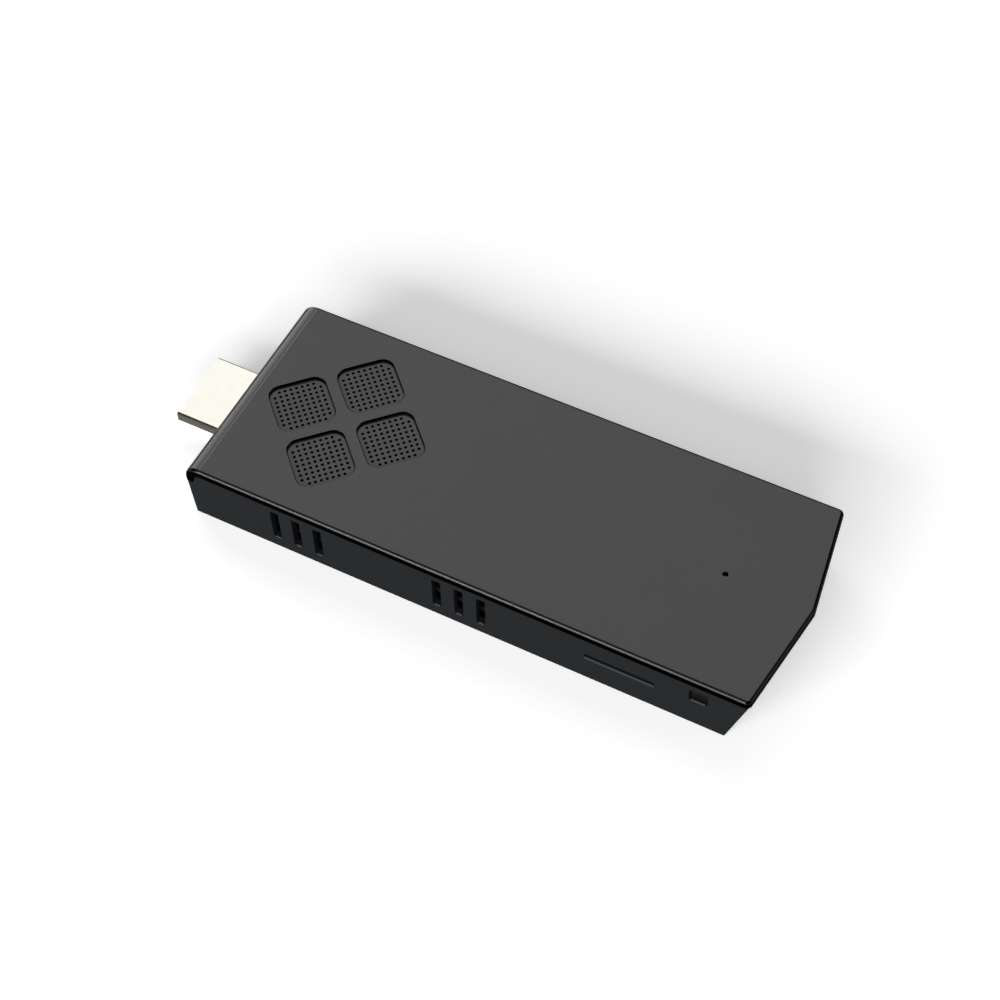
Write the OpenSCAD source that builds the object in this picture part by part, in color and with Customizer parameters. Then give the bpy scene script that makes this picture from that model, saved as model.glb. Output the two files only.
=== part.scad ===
/* [Case] */
// Length of the case from its nose to the point of the chevron end
body_l = 103.4; // [95:0.1:115]
// Width of the top cover
body_w = 40; // [39:0.1:46]
// Height of the case from its base to its top face
body_h = 13.1; // [12.6:0.1:15]
// Thickness of the top cover
cover_t = 1.5; // [1.3:0.1:2]
// Outer radius of the bend at the nose
nose_r = 3; // [2.4:0.1:3.4]
// Depth of the nose lip below the top face
lip_drop = 3.6; // [3.5:0.1:4.5]
// Radius of the cover's top edge
edge_r = 0.7; // [0.3:0.1:1]
// How much larger than that the upright corners of the chevron end are
corner_extra = 0.3; // [0.1:0.1:0.8]
// How far the chevron's point stands past its corners
tip_rise = 2.75; // [1:0.05:5]
// Lean of the chevron end under the cover, in degrees
end_lean = 15; // [5:1:20]
// Draft of the shell's nose wall, in degrees
nose_draft = 3.2; // [0:0.1:5]
// Overhang of the cover along the long sides
side_overhang = 0.5; // [0.2:0.1:0.8]
// Overhang of the cover at the chevron end
end_overhang = 0.2; // [0.1:0.1:0.8]
// Thickness of the shell's walls
wall_t = 1.2; // [1:0.1:1.6]
// Thickness of the shell's floor
floor_t = 1; // [0.8:0.1:1.4]
// Height of the cover's locating rib
rib_h = 0.9; // [0.5:0.1:1.5]
// Thickness of the cover's locating rib
rib_t = 0.8; // [0.6:0.1:1.2]

/* [Grille] */
// Distance of the grille's centre from the nose
grille_from_nose = 19.7; // [17:0.1:24]
// Spacing of the perforated squares along their own sides
patch_pitch = 12; // [11:0.1:13]
// Side of a perforated square
patch_side = 9.8; // [9.5:0.1:10.8]
// Corner radius of a perforated square
patch_r = 2; // [1:0.1:3]
// Depth of the perforated squares below the top face
patch_depth = 0.55; // [0.3:0.05:0.8]
// Chamfer round a perforated square
patch_bevel = 0.15; // [0.1:0.05:0.25]
// Spacing of the grille holes
hole_pitch = 1; // [0.9:0.05:1.05]
// Diameter of the grille holes
hole_d = 0.55; // [0.4:0.05:0.7]
// Holes along one side of a square
hole_rows = 9; // [5:2:9]

/* [Vents] */
// Width of a vent slot
slot_w = 1.6; // [1:0.1:2]
// Height of a vent slot
slot_h = 7.1; // [4:0.1:7.4]
// Corner radius of a vent slot
slot_r = 0.3; // [0.2:0.05:0.45]
// Spacing of the slots in a group
slot_pitch = 4; // [3:0.1:5]
// Slots in a group
slot_count = 3; // [1:1:3]
// Height of the slots' middle above the base
slot_z = 6.05; // [5:0.01:7]
// Distance of the first group from the nose
vent_from_nose = 20.8; // [18:0.1:24]
// Distance between the two groups on the near side
vent_spacing = 30; // [28:0.1:32]
// Chamfer under the openings on the near side
sill_bevel = 0.2; // [0.1:0.05:0.3]

/* [Screws] */
// Diameter of the case screws
screw_d = 1.8; // [1.6:0.1:2]
// Diameter of a case screw's head
screw_head_d = 3.4; // [3:0.1:3.6]
// Height of a case screw's head
screw_head_h = 1.1; // [0.8:0.1:1.4]
// Depth of a case screw's head in the base
screw_sink = 0.4; // [0.2:0.1:0.8]
// Diameter of a screw post
post_d = 5; // [4.6:0.1:5.4]
// Diameter of the shoulder that carries the board
shoulder_d = 6.4; // [6:0.1:7]
// Height of the cover's screw bosses
boss_h = 2; // [1.5:0.1:3]
// Distance of the nose posts from the shell's sides
nose_post_inset = 3.9; // [3.5:0.1:4.2]
// Distance of the end posts from the chevron's point
end_post_from_tip = 8.6; // [8:0.1:9]
// Distance of the end posts from the centre line
end_post_y = 9; // [8:0.1:9.4]
// Diameter of the small screws on the board
small_screw_d = 1.4; // [1.2:0.1:1.6]
// Diameter of a small screw's head
small_head_d = 2.6; // [2.2:0.1:3]
// Height of a small screw's head
small_head_h = 0.6; // [0.4:0.1:0.8]
// Diameter of the standoffs under the board
standoff_d = 5; // [4:0.1:5.4]
// Distance of the side standoff from the board's edge
side_screw_inset = 2.6; // [2.4:0.1:2.8]

/* [Board] */
// Thickness of the main board
board_t = 1; // [0.8:0.1:1.2]
// Gap between the ports and the cover, which sets the height of the board
port_head = 1.1; // [0.6:0.1:1.6]
// Gap between the board and the walls
board_gap = 0.5; // [0.3:0.1:0.8]
// Clearance between fitted pieces
fit_gap = 0.1; // [0.05:0.05:0.2]

/* [Video plug] */
// Length of the plug past the nose
plug_out = 10.5; // [9:0.1:12]
// Width of the plug
plug_w = 13.9; // [13.8:0.05:14]
// Height of the plug
plug_h = 4.45; // [4.4:0.05:4.5]
// Height of the plug's upright sides
plug_side_h = 1.9; // [1.7:0.1:2.6]
// Width of the plug's lower face
plug_base_w = 10.6; // [10:0.1:11.4]
// Radius of the plug's upper edges
plug_r = 0.4; // [0.4:0.05:0.7]
// Length of the plug's solder tabs
plug_tab_l = 3; // [2:0.1:4]
// Width of the plug's solder tabs
plug_tab_w = 1.8; // [1.4:0.1:2.2]
// Height of the slot in the plug's insulator
plug_slot_h = 1.7; // [1.4:0.1:1.9]
// Depth of the plug's shell behind the nose
plug_in = 8.4; // [7:0.1:10]
// Thickness of the plug's and the ports' sheet metal
sheet_t = 0.3; // [0.25:0.05:0.4]
// Distance of the plug's middle below the board's middle
plug_drop = 0.27; // [0.1:0.01:0.7]
// Spacing of the plug's contacts in one row
plug_pitch = 1; // [0.9:0.05:1.1]
// Contacts in the upper row
plug_upper = 10; // [8:1:10]
// Contacts in the lower row
plug_lower = 9; // [7:1:9]
// Thickness of the contacts
contact_t = 0.2; // [0.1:0.05:0.25]
// Width of the contacts in the plug and the card socket
contact_w = 0.4; // [0.3:0.05:0.5]

/* [Ports on the far side] */
// Width of a data port
data_w = 13.1; // [13:0.1:13.2]
// Height of a data port
data_h = 5.7; // [5.6:0.1:5.8]
// Depth of a data port
data_d = 13.8; // [12:0.1:14]
// Gap between the first data port and the screw post beside it
data_gap = 1.55; // [1:0.05:3]
// Distance between the two data ports
data_spacing = 16.5; // [15:0.1:17]
// Width of a data port's tongue
tongue_w = 11.1; // [11:0.1:11.2]
// Thickness of a data port's tongue
tongue_t = 1.84; // [1.8:0.02:1.9]
// Gap above a data port's tongue
tongue_gap = 0.73; // [0.7:0.01:0.8]
// Length of a data port's tongue
tongue_l = 8.6; // [8:0.1:9]
// Width of the power port
power_w = 7.5; // [7.4:0.1:7.6]
// Height of the power port
power_h = 2.6; // [2.5:0.1:2.8]
// Depth of the power port
power_d = 5.2; // [5:0.1:5.6]
// Gap between the power port and the fan along the case
power_gap = 0.5; // [0.3:0.1:4]
// Distance of a port's mouth behind the shell's outer face
port_recess = 0.2; // [0:0.1:0.5]
// Corner radius of a data port
port_r = 0.6; // [0.5:0.05:0.8]
// Height of the power port's upright sides
power_side_h = 1.5; // [1.3:0.1:1.7]
// Width of the power port's lower face
power_base_w = 5.4; // [5:0.1:6]
// Width of the power port's tongue
power_tongue_w = 3.6; // [3.2:0.1:4]
// Thickness of the power port's tongue
power_tongue_t = 0.6; // [0.5:0.05:0.7]
// Gap above the power port's tongue
power_tongue_gap = 0.7; // [0.6:0.05:0.8]
// Length of the power port's tongue
power_tongue_l = 2.6; // [2.2:0.1:3]
// Contacts in a data port
data_contacts = 4; // [4:1:5]
// Spacing of a data port's contacts
data_contact_pitch = 2.3; // [2:0.1:2.4]
// Width of a data port's contacts
data_contact_w = 1; // [0.8:0.1:1.2]
// Contacts in the power port
power_contacts = 5; // [4:1:5]
// Spacing of the power port's contacts
power_contact_pitch = 0.65; // [0.6:0.05:0.7]
// Width of the power port's contacts
power_contact_w = 0.35; // [0.25:0.05:0.4]

/* [Card socket] */
// Distance of the card slot from the chevron's point
card_from_tip = 24.35; // [22:0.05:27]
// Width of the card slot in the shell
card_w = 12; // [11.6:0.1:12.4]
// Height of the card slot in the shell
card_h = 1.2; // [1.1:0.1:1.5]
// Height of the card slot's middle above the board
card_lift = 1.45; // [1.3:0.05:1.6]
// Width of the card socket
socket_w = 14; // [13.4:0.1:14]
// Depth of the card socket
socket_d = 14.5; // [13:0.1:15]
// Width of the card's channel
channel_w = 11.3; // [11.1:0.1:11.6]
// Height of the card's channel
channel_h = 1.1; // [0.9:0.1:1.2]
// Contacts in the card socket
card_contacts = 8; // [6:1:8]
// Spacing of the card socket's contacts
card_contact_pitch = 1.1; // [1:0.05:1.2]

/* [Button] */
// Distance of the button from the chevron's point
button_from_tip = 11; // [10:0.1:12]
// Width of the button's window
window_w = 3.2; // [2.8:0.1:3.6]
// Height of the button's window
window_h = 2.9; // [2.4:0.1:3]
// Corner radius of the button's window
window_r = 0.4; // [0.2:0.05:0.6]
// Height of the window's middle above the board
window_lift = 3.2; // [3.1:0.1:3.6]
// Depth of the button's face behind the shell's outer face
button_recess = 0.55; // [0.3:0.05:0.8]
// Travel of the button
button_travel = 0.3; // [0.2:0.05:0.4]
// Width of the flange that keeps the button in
flange_w = 4.4; // [4:0.1:4.8]
// Thickness of the button's flange
flange_t = 0.7; // [0.5:0.1:0.9]
// Width of the switch behind the button
switch_w = 4.2; // [3.8:0.1:4.6]
// Height of the switch
switch_h = 3; // [2.6:0.1:3.2]
// Depth of the switch
switch_d = 2.6; // [2.2:0.1:2.8]
// Length of the plunger out of the switch
plunger_l = 0.7; // [0.5:0.1:0.9]

/* [Indicator] */
// Distance of the indicator from the chevron's point
lamp_from_tip = 15.2; // [14:0.1:17]
// Diameter of the indicator's pinhole
pinhole_d = 1; // [0.7:0.1:1.2]
// Diameter of the light pipe under the cover
pipe_d = 2; // [1.6:0.1:2.4]
// Depth of the light pipe's tip below the top face
pipe_sink = 0.6; // [0.3:0.1:0.9]
// Height of the lamp on the board
lamp_h = 0.6; // [0.5:0.1:0.8]
// Length of the lamp
lamp_l = 1.6; // [1.2:0.1:2]
// Width of the lamp
lamp_w = 0.8; // [0.6:0.1:1.2]

/* [Cooler] */
// How far the fan stands past the heat sink on each side
fan_rim = 0.3; // [0.1:0.1:1]
// Thickness of the fan's walls
fan_wall = 0.8; // [0.6:0.1:1]
// Thickness of the fan's base and lid
fan_plate = 0.5; // [0.4:0.1:0.6]
// Height of the fan above the board
fan_lift = 2; // [1.9:0.1:2.2]
// Gap between the cooler and the cover
cooler_gap = 0.3; // [0.2:0.1:0.6]
// Gap between the rotor's blades and the fan's wall
tip_gap = 1.5; // [0.8:0.1:2.5]
// Radius of the rotor's hub
hub_r = 5.5; // [5:0.1:6]
// Thickness of the rotor's hub
hub_t = 0.5; // [0.4:0.1:0.6]
// Running gap above and below the rotor
rotor_gap = 0.4; // [0.3:0.05:0.5]
// Blades on the rotor
blade_count = 19; // [11:1:23]
// Thickness of a blade
blade_t = 0.45; // [0.35:0.05:0.6]
// Lean of a blade from the radius, in degrees
blade_lean = 24; // [0:1:30]
// Radius of the rotor's shaft
shaft_r = 0.6; // [0.5:0.05:0.8]
// Radius of the rotor's bearing
bearing_r = 1.5; // [1.3:0.1:1.7]
// Thickness of the tube round the bearing
tube_t = 0.6; // [0.4:0.1:0.8]
// Thickness of the rotor's magnet ring
magnet_t = 0.4; // [0.3:0.1:0.5]
// Gap between the magnet ring and the poles
pole_gap = 0.5; // [0.3:0.1:0.6]
// Poles of the fan's motor
pole_count = 4; // [4:1:6]
// Width of a pole
pole_w = 1.4; // [1:0.1:1.8]
// Running clearance of the shaft in its bearing
shaft_gap = 0.03; // [0.02:0.01:0.05]
// Gap between the fan and the heat sink
sink_gap = 3; // [2.9:0.1:5]
// Gap between the heat sink and the wireless module
radio_gap = 0.65; // [0.3:0.05:3]
// Gap between the heat sink and the power port
port_clear = 0.9; // [0.5:0.1:3]
// Thickness of the heat sink's base
sink_base = 0.8; // [0.6:0.1:1]
// Spacing of the heat sink's fins
fin_pitch = 2; // [1.6:0.1:3]
// Thickness of a fin
fin_t = 0.6; // [0.4:0.1:0.8]
// Side of the processor
chip_side = 16; // [12:0.5:17]
// Height of the processor
chip_h = 1.2; // [1:0.1:1.4]
// Side of the processor's raised die
die_side = 9.6; // [8:0.1:11]
// Thickness of the thermal pad
pad_t = 0.5; // [0.3:0.1:0.6]

/* [Small parts] */
// Thickness of the chips
part_h = 1; // [0.8:0.1:1.1]
// Length of a memory chip
memory_l = 9; // [8:0.1:9.4]
// Width of a memory chip
memory_w = 11; // [9:0.1:11.4]
// Length of the storage chip
storage_l = 11.5; // [10:0.1:12]
// Width of the storage chip
storage_w = 13; // [11:0.1:14]
// Gap between the memory chips and the storage chip
memory_gap = 1.75; // [1:0.05:2]
// Gap between the memory chips of a pair
pair_gap = 2; // [1:0.1:3]
// Gap between the memory chips and the standoffs
chip_gap = 0.5; // [0.3:0.1:2]
// Side of the power chip
power_chip_side = 7; // [5:0.1:7.4]
// Length of a capacitor
capacitor_l = 2.8; // [2:0.1:3.2]
// Width of a capacitor
capacitor_w = 3.5; // [2.5:0.1:3.6]
// Length of the firmware chip
firmware_l = 5; // [4:0.1:6]
// Width of the firmware chip
firmware_w = 4; // [3:0.1:5]
// Length of the clock crystal
crystal_l = 2.5; // [2:0.1:3.2]
// Width of the clock crystal
crystal_w = 3.2; // [2:0.1:4]
// Height of the inductors and the capacitors
coil_h = 1.6; // [1.2:0.1:1.7]
// Side of an inductor
coil_side = 4; // [3:0.1:4.4]
// Spacing of the inductors
coil_pitch = 5; // [4.6:0.1:5.4]
// Side of the wireless module
radio_side = 11.4; // [10:0.1:11.6]
// Thickness of the wireless module's board
radio_board_t = 0.6; // [0.4:0.1:0.8]
// Height of the wireless module's shield
radio_h = 1.4; // [1:0.1:1.8]
// Gap between the antenna strip and the screw bosses
antenna_gap = 0.5; // [0.3:0.1:2]
// Width of the antenna strip
antenna_w = 4; // [3:0.1:4.5]
// Thickness of the antenna strip
antenna_t = 0.4; // [0.2:0.1:0.6]
// Diameter of the inner leads
lead_d = 0.8; // [0.6:0.1:1]
// Length of the fan's connector
connector_l = 4; // [3:0.1:5]
// Width of the fan's connector
connector_w = 3; // [2.6:0.1:3.4]
// Height of the fan's connector
connector_h = 2; // [1.6:0.1:2.2]

/* [Hidden] */
$fn = 48;

// Reach of a cutter past the face that it cuts, and of a half space past the case
over = 1;
far = 2 * body_l;

// Widths and the slope of the chevron end
shell_w = body_w - 2 * side_overhang;
near_y = -shell_w / 2;
inner_y = shell_w / 2 - wall_t;
tip_angle = atan(tip_rise / (body_w / 2));
corner_r = edge_r + corner_extra;
lean_run = tan(end_lean);
board_y = inner_y - board_gap;
port_y = shell_w / 2 - port_recess;
sink_w = 2 * (port_y - power_d - port_clear);
fan_side = sink_w + 2 * fan_rim;

// Places along X, with the middle of the whole stick at zero and the plug towards -X
nose_x = (plug_out - body_l) / 2;
tip_x = nose_x + body_l;
function from_nose(d) = nose_x + d;
grille_x = from_nose(grille_from_nose);
fan_end_x = grille_x + fan_side / 2;
card_x = tip_x - card_from_tip;
button_x = tip_x - button_from_tip;
lamp_x = tip_x - lamp_from_tip;
power_x = fan_end_x + power_gap + power_w / 2;
data_1_x = tip_x - end_post_from_tip - post_d / 2 - data_gap - data_w / 2;
data_x = [data_1_x, data_1_x - data_spacing];
vent_x = from_nose(vent_from_nose);
near_vents = [vent_x, vent_x + vent_spacing];
far_vent_x = (power_x + power_w / 2 + data_x[1] - data_w / 2) / 2;
radio_x = card_x - socket_w / 2 - over - radio_side / 2;
sink_start_x = fan_end_x + sink_gap;
sink_end_x = radio_x - radio_side / 2 - radio_gap;
sink_x = (sink_start_x + sink_end_x) / 2;
sink_l = sink_end_x - sink_start_x;

// Heights above the base
split_z = body_h - cover_t;
lip_z = body_h - lip_drop;
bend_z = body_h - nose_r;
boss_z = split_z - boss_h;
root_z = split_z + cover_t / 2;
board_z = split_z - port_head - data_h - board_t;
board_top = board_z + board_t;
plug_z = board_z + board_t / 2 - plug_drop;
fan_z = board_top + fan_lift;
cooler_top = split_z - cooler_gap;
sink_z = board_top + chip_h + pad_t;
window_z = board_top + window_lift;
card_z = board_top + card_lift;

nose_post_at = cover_t + fit_gap + post_d / 2;
post_places = [
  [from_nose(nose_post_at), near_y + nose_post_inset],
  [from_nose(nose_post_at), -near_y - nose_post_inset],
  [tip_x - end_post_from_tip, -end_post_y],
  [tip_x - end_post_from_tip, end_post_y]
];
memory_reach = storage_l / 2 + memory_gap + memory_l / 2;
standoff_reach = memory_reach + memory_l / 2 + chip_gap + standoff_d / 2;
board_screw_places = [
  [sink_x + standoff_reach, 0],
  [sink_x - standoff_reach, -board_y + side_screw_inset]
];
lug_r = small_head_d / 2 + fit_gap;
lug_at = (fan_side / 2 + lug_r) * cos(45);
fan_screw_places = [
  [grille_x - lug_at, -lug_at],
  [grille_x - lug_at, lug_at],
  [fan_end_x + sink_gap / 2, 0]
];
sink_hole = small_head_d / 2 + 6 * fit_gap;
sink_screw_places = [
  [sink_start_x + sink_hole, sink_w / 2 - sink_hole],
  [sink_end_x - sink_hole, -sink_w / 2 + sink_hole]
];
cooler_places = concat(fan_screw_places, sink_screw_places);

function end_x(z) = tip_x - end_overhang - (split_z - z) * lean_run;

// Rectangle with round corners, about its middle
module round_rect(w, h, r) {
  square([w, h - 2 * r], center = true);
  square([w - 2 * r, h], center = true);
  for (x = [-1, 1], y = [-1, 1]) translate([x * (w / 2 - r), y * (h / 2 - r)]) circle(r = r);
}

// Outline with upright sides, round upper corners and slanting lower corners, drawn in by an inset
module wedge_outline(w, h, side_h, base_w, r, inset) {
  half = w / 2 - inset;
  base = base_w / 2 - inset / 2;
  top = h / 2 - inset;
  corner = r - inset;
  side_z = h / 2 - side_h;
  polygon([
    [-half, top - corner],
    [-half, side_z],
    [-base, -top],
    [base, -top],
    [half, side_z],
    [half, top - corner]
  ]);
  translate([-half + corner, side_z]) square([2 * (half - corner), top - side_z]);
  for (side = [-1, 1]) translate([side * (half - corner), top - corner]) circle(r = corner);
}

// Stands a flat outline up in the XZ plane and gives it a depth along Y, from y0 to y1
module along_y(y0, y1) {
  translate([0, y1, 0]) rotate([90, 0, 0]) linear_extrude(y1 - y0) children();
}

// Stands a flat outline up in the YZ plane and gives it a depth along X, from x0 to x1
module along_x(x0, x1) {
  translate([x0, 0, 0]) rotate([90, 0, 90]) linear_extrude(x1 - x0) children();
}

// Block with its lower face at z0, about a place in plan
module block(place, z0, size) {
  translate([place[0] - size[0] / 2, place[1] - size[1] / 2, z0]) cube(size);
}

// Flat outline of everything behind one half of the leaning chevron end
module lean_side(inset, z0, z1) {
  polygon([
    [-far, z0],
    [-end_overhang - inset - (split_z - z0) * lean_run, z0],
    [-end_overhang - inset - (split_z - z1) * lean_run, z1],
    [-far, z1]
  ]);
}

// Turns a flat outline square to one half of the chevron end
module chevron_half(side) {
  translate([tip_x, 0, 0]) rotate([0, 0, side * tip_angle]) along_y(-far, far) children();
}

// Inside of the lower shell's faces, drawn in by an inset, between two heights
module shell_block(inset, z0, z1) {
  draft_run = tan(nose_draft);
  intersection() {
    along_y(near_y + inset, -near_y - inset)
      polygon([
        [nose_x + inset + (lip_z - z0) * draft_run, z0],
        [tip_x, z0],
        [tip_x, z1],
        [nose_x + inset + (lip_z - z1) * draft_run, z1]
      ]);
    chevron_half(1) lean_side(inset, z0, z1);
    chevron_half(-1) lean_side(inset, z0, z1);
  }
}

// Cross-section of the cover's sheet, with its outer edges round
module cover_section() {
  translate([-body_w / 2, 0]) square([body_w, cover_t - edge_r]);
  translate([-body_w / 2 + edge_r, 0]) square([body_w - 2 * edge_r, cover_t]);
  for (side = [-1, 1]) translate([side * (body_w / 2 - edge_r), cover_t - edge_r]) circle(r = edge_r);
}

// Side view of the cover's sheet: a straight run, a quarter bend at the nose and the lip
module cover_profile() {
  bend_x = nose_x + nose_r;
  difference() {
    union() {
      translate([bend_x, bend_z]) circle(r = nose_r);
      translate([bend_x, bend_z]) square([tip_x - bend_x, nose_r]);
      translate([nose_x, lip_z]) square([nose_r, bend_z - lip_z]);
    }
    translate([bend_x, bend_z]) circle(r = nose_r - cover_t);
    translate([bend_x, split_z - far]) square(far);
    translate([nose_x + cover_t, bend_z - far]) square(far);
    translate([nose_x - over, lip_z - far]) square(far);
  }
}

// Sheet of the cover: its flat middle, and the round-edged section carried along the side view
module cover_sheet() {
  bend_x = nose_x + nose_r;
  flat_y = body_w / 2 - edge_r;
  along_y(-flat_y, flat_y) cover_profile();
  translate([0, 0, split_z]) along_x(bend_x, tip_x) cover_section();
  translate([bend_x, 0, bend_z]) rotate([90, 0, 0]) rotate([0, 0, 90])
    rotate_extrude(angle = 90) translate([nose_r - cover_t, 0]) rotate(-90) cover_section();
  translate([nose_x + cover_t, 0, lip_z]) rotate([0, 0, 90]) linear_extrude(bend_z - lip_z) cover_section();
}

// Flat outline behind one half of the cover's chevron end, with its top edge round
module cover_end_side() {
  translate([-far, 0]) square([far, body_h - edge_r]);
  translate([-far, 0]) square([far - edge_r, body_h]);
  translate([-edge_r, body_h - edge_r]) circle(r = edge_r);
}

// Outline turned about an upright corner of the cover, with its top edge round
module corner_side() {
  square([corner_r, body_h - edge_r]);
  square([corner_extra, body_h]);
  intersection() {
    translate([corner_extra, body_h - edge_r]) circle(r = edge_r);
    square([corner_r, body_h]);
  }
}

// What lies outside the round upright corner on the far side of the cover
module corner_waste() {
  y = body_w / 2 - corner_r;
  x = tip_x - (corner_r + y * sin(tip_angle)) / cos(tip_angle);
  reach = 2 * corner_r;
  end_way = reach * [cos(tip_angle), sin(tip_angle)];
  side_way = reach * [0, 1];
  translate([x, y, 0]) difference() {
    linear_extrude(body_h + over) polygon([[0, 0], end_way, end_way + side_way, side_way]);
    rotate_extrude() corner_side();
  }
}

// Places its children at the middle of each perforated square
module at_patches() {
  translate([grille_x, 0, 0]) rotate([0, 0, 45])
    for (u = [-1, 1], v = [-1, 1]) translate([u * patch_pitch / 2, v * patch_pitch / 2, 0]) children();
}

// Chamfer round a perforated square, widening towards the top face
module patch_chamfer() {
  half = patch_side / 2;
  run = half - patch_r;
  for (turn = [0, 90]) rotate([0, 0, turn]) along_y(-run, run)
    polygon([
      [-half, -patch_bevel],
      [half, -patch_bevel],
      [half + patch_bevel, 0],
      [-half - patch_bevel, 0]
    ]);
  for (u = [-1, 1], v = [-1, 1]) translate([u * run, v * run, -patch_bevel])
    cylinder(r1 = patch_r, r2 = patch_r + patch_bevel, h = patch_bevel);
}

// Grille holes of one square, without its four corners
module patch_holes() {
  last = (hole_rows - 1) / 2;
  for (i = [-last:last], j = [-last:last])
    if (abs(i) + abs(j) < 2 * last)
      translate([i * hole_pitch, j * hole_pitch, split_z - over])
        cylinder(d = hole_d, h = cover_t + over, $fn = 16);
}

// Space kept free under the cover's rib for the ports and the button
module rib_gaps() {
  for (x = data_x) block([x, inner_y], board_top, [data_w + 2 * over, 2 * rib_t + 2 * over, body_h]);
  block([button_x, -inner_y], board_top, [flange_w + 2 * over, 2 * rib_t + 2 * over, body_h]);
}

module top_cover() {
  color([0.3, 0.3, 0.3])
  difference() {
    union() {
      difference() {
        intersection() {
          cover_sheet();
          chevron_half(1) cover_end_side();
          chevron_half(-1) cover_end_side();
        }
        corner_waste();
        mirror([0, 1, 0]) corner_waste();
      }
      difference() {
        shell_block(wall_t + fit_gap, split_z - rib_h, root_z);
        shell_block(wall_t + fit_gap + rib_t, split_z - rib_h - over, root_z + over);
        translate([nose_x - far, -far / 2, 0]) cube([far + nose_r, far, body_h]);
        rib_gaps();
      }
      for (p = post_places) translate([p[0], p[1], boss_z]) cylinder(d = post_d, h = root_z - boss_z);
      translate([lamp_x, 0, boss_z]) cylinder(d = pipe_d + 2 * rib_t, h = root_z - boss_z);
    }
    at_patches() {
      translate([0, 0, body_h - patch_depth]) linear_extrude(patch_depth + over)
        round_rect(patch_side, patch_side, patch_r);
      translate([0, 0, body_h]) patch_chamfer();
      patch_holes();
    }
    for (p = post_places)
      translate([p[0], p[1], boss_z - over]) cylinder(d = screw_d, h = root_z - boss_z + over);
    translate([lamp_x, 0, split_z]) cylinder(d = pinhole_d, h = cover_t + over);
    translate([lamp_x, 0, boss_z - over]) cylinder(d = pipe_d + 2 * fit_gap, h = boss_h + over);
  }
}

// Flat outline that keeps the shell clear of the cover's bend and lip
module under_bend() {
  inner_r = nose_r - cover_t - fit_gap;
  bend_x = nose_x + nose_r;
  lip_x = nose_x + cover_t + fit_gap;
  translate([nose_x - over, -over]) square([far, lip_z + over]);
  translate([bend_x, 0]) square([far, split_z]);
  translate([lip_x, 0]) square([far, bend_z]);
  translate([bend_x, bend_z]) circle(r = inner_r);
}

function slot_places(groups) =
  [for (x = groups, i = [0:slot_count - 1]) x + (i - (slot_count - 1) / 2) * slot_pitch];

// Vent slots of the groups at a list of places, as flat outlines
module vent_outlines(groups) {
  for (x = slot_places(groups)) translate([x, slot_z]) round_rect(slot_w, slot_h, slot_r);
}

// Wedge that eases the lower edge of an opening on the near side
module sill(x, w, z) {
  along_x(x - w / 2, x + w / 2)
    polygon([
      [near_y + sill_bevel, z],
      [near_y - over, z - sill_bevel - over],
      [near_y - over, z + sill_bevel]
    ]);
}

// Outline of the plug seen along its length, drawn in by an inset
module plug_outline(inset) {
  wedge_outline(plug_w, plug_h, plug_side_h, plug_base_w, plug_r, inset);
}

// Outline of the power port seen along its depth, standing on the board and drawn in by an inset
module power_outline(inset) {
  translate([0, power_h / 2])
    wedge_outline(power_w, power_h, power_side_h, power_base_w, port_r, inset);
}

// Outline of a data port seen along its depth, standing on the board and drawn in by an inset
module data_outline(inset) {
  translate([0, data_h / 2]) round_rect(data_w - 2 * inset, data_h - 2 * inset, port_r - inset);
}

module lower_shell() {
  color([0.12, 0.12, 0.13])
  difference() {
    union() {
      intersection() {
        difference() {
          shell_block(0, 0, split_z);
          shell_block(wall_t, floor_t, split_z + over);
        }
        along_y(-far / 2, far / 2) under_bend();
      }
      intersection() {
        shell_block(0, 0, split_z);
        for (p = post_places) {
          translate([p[0], p[1], 0]) cylinder(d = shoulder_d, h = board_z);
          translate([p[0], p[1], 0]) cylinder(d = post_d, h = boss_z);
        }
      }
      for (p = board_screw_places) translate([p[0], p[1], 0]) cylinder(d = standoff_d, h = board_z);
    }
    for (p = post_places) translate([p[0], p[1], -over]) {
      cylinder(d = screw_d + 2 * fit_gap, h = far);
      cylinder(d = screw_head_d + 2 * fit_gap, h = over + screw_sink + screw_head_h);
    }
    for (p = board_screw_places) translate([p[0], p[1], floor_t]) cylinder(d = small_screw_d, h = far);
    along_y(near_y - over, near_y + wall_t + over) {
      vent_outlines(near_vents);
      translate([card_x, card_z]) square([card_w, card_h], center = true);
      translate([button_x, window_z]) round_rect(window_w, window_h, window_r);
    }
    for (x = slot_places(near_vents)) sill(x, slot_w - 2 * slot_r, slot_z - slot_h / 2);
    sill(card_x, card_w, card_z - card_h / 2);
    sill(button_x, window_w - 2 * window_r, window_z - window_h / 2);
    along_y(-near_y - wall_t - over, -near_y + over) {
      vent_outlines([vent_x, far_vent_x]);
      for (x = data_x) translate([x, board_top]) data_outline(-2 * fit_gap);
      translate([power_x, board_top]) power_outline(-2 * fit_gap);
    }
    along_x(nose_x - over, plug_back_x + fit_gap) translate([0, plug_z]) plug_outline(-fit_gap);
  }
}

module case_screws() {
  color("silver")
  for (p = post_places) translate([p[0], p[1], screw_sink]) {
    cylinder(d = screw_head_d, h = screw_head_h);
    cylinder(d = screw_d - 2 * shaft_gap, h = split_z - screw_sink);
  }
}

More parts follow.
